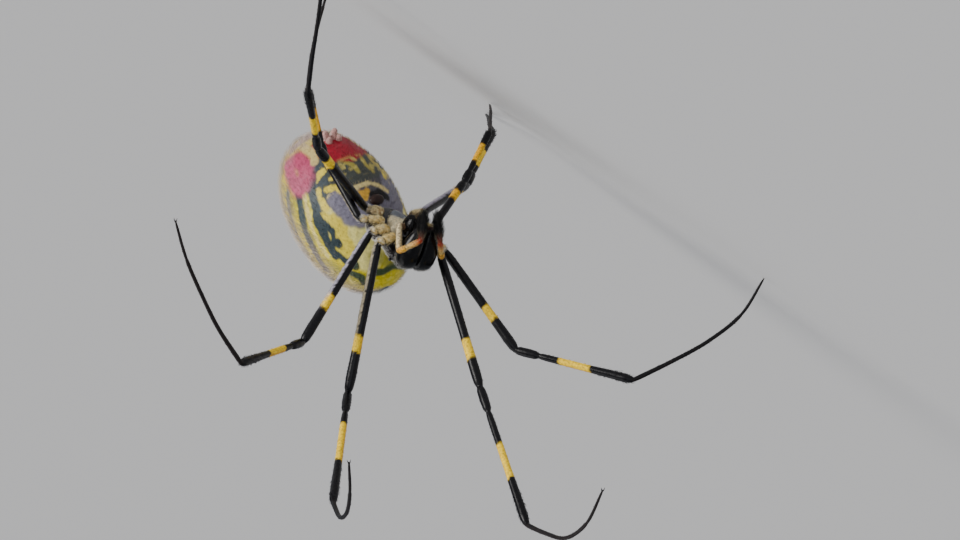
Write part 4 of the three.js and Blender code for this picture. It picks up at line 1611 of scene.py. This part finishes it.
@dataclass(frozen=True)
class Studio:
    """The floor, the soft light and the camera."""

    place: Point = (0.627594, -0.630742, 0.060732)  # of the camera, metres, then its axes
    right: Point = (-0.55614, -0.60197, -0.57300)
    up: Point = (0.43495, 0.37669, -0.81788)
    back: Point = (0.70819, -0.70408, 0.05234)
    lens: float = 384.75
    backdrop: Point = (0.72, 0.71, 0.7)
    sky: Point = (0.78, 0.82, 0.9)
    sky_strength: float = 0.32
    floor_size: float = 30.0  # metres

    def camera(self) -> None:
        """Makes the camera at the photograph's angle, turned with the model."""
        data = bpy.data.cameras.new("camera")
        data.lens, data.sensor_width = self.lens, 36.0
        data.clip_start, data.clip_end = 0.01, 60.0
        thing = add("camera", data)
        turn = Matrix([self.right, self.up, self.back]).transposed().to_4x4()
        thing.matrix_world = Matrix.Translation(self.place) @ turn
        bpy.context.scene.camera = thing

    @staticmethod
    def sun(name: str, way: Sequence[float], spread: float, strength: float, colour: Point) -> None:
        """Sets a wide, soft, even light.

        Args:
            name: Its name.
            way: Direction from the model to the light.
            spread: Its width as seen from the model, degrees.
            strength: Its strength.
            colour: Its light.
        """
        data = bpy.data.lights.new(name, "SUN")
        data.angle, data.energy, data.color = math.radians(spread), strength, colour
        z = unit(np.array(way, float))
        x = unit(np.cross([0.0, 1.0, 0.2], z))
        axes = Matrix([x.tolist(), np.cross(z, x).tolist(), z.tolist()])
        add(name, data).matrix_world = axes.transposed().to_4x4()

    def build(self) -> None:
        """Makes the floor, the lamps, the surrounding light and the camera."""
        bpy.ops.mesh.primitive_grid_add(x_subdivisions=2, y_subdivisions=2, size=self.floor_size,
                                        location=(0, 0, 0))
        floor = bpy.context.object
        floor.name = "floor"
        made, tree, shader = blank("floor")
        tree.feed(shader, {"Base Color": (*self.backdrop, 1), "Roughness": 0.9})
        floor.data.materials.append(made)
        world = bpy.data.worlds.new("studio")
        world.use_nodes = True
        Tree(world.node_tree).feed(world.node_tree.nodes["Background"],
                                   {"Color": (*self.sky, 1), "Strength": self.sky_strength})
        bpy.context.scene.world = world
        right, up, back = (np.array(v) for v in (self.right, self.up, self.back))
        self.sun("key", -right * 1.0 + up * 0.35 + back * 0.5, 34.0, 2.9, (1.0, 0.98, 0.95))
        self.sun("fill", back * 1.0 - right * 0.1 - up * 0.1, 50.0, 0.5, (0.9, 0.94, 1.0))
        self.sun("top", (0.1, 0.2, 1.0), 60.0, 0.9, (1.0, 1.0, 1.0))
        self.camera()


def main() -> None:
    """Builds the spider piece by piece and reports each."""
    logging.basicConfig(level=logging.INFO, format="%(message)s")
    Studio().build()
    grain = grain_group()
    skin = Skin()
    body = skin.build([sheen.build(grain) for sheen in SKIN_SHEENS])
    kept = [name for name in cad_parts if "chelicera" not in name]
    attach(body, "root")
    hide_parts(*kept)
    LOG.info("spider_skin: %d faces", len(body.data.polygons))
    shells = surface("chelicerae", skin.jaws, [JAW_SHEEN.build(grain)])
    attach(shells, "root")
    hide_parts("left_chelicera", "right_chelicera")
    eyes = Eyes().build(EYE_SHEEN.build(grain))
    claws = Claws().build(CLAW_SHEEN.build(grain))
    for piece, slot in ((eyes, "carapace"), (claws, "leg")):
        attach(piece, "root")
        LOG.info("%s: %d faces", piece.name, len(piece.data.polygons))
    hair = hair_material()
    front = [*skin.named("carapace", "breastplate", "palp", "lip", "mouth"), *skin.jaws[::2]]
    for coat, patches in ((Coat("abdomen_coat", "belly", 0.011, 3), skin.named("abdomen", "spinneret")),
                          (Coat("head_coat", "carapace", 0.012, 5), front),
                          (Coat("left_leg_coat", "leg", 0.014, 7), skin.named("left")),
                          (Coat("right_leg_coat", "leg", 0.014, 9), skin.named("right"))):
        tufts = coat.grow(patches, hair)
        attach(tufts, "root")


if __name__ == "__main__":
    main()
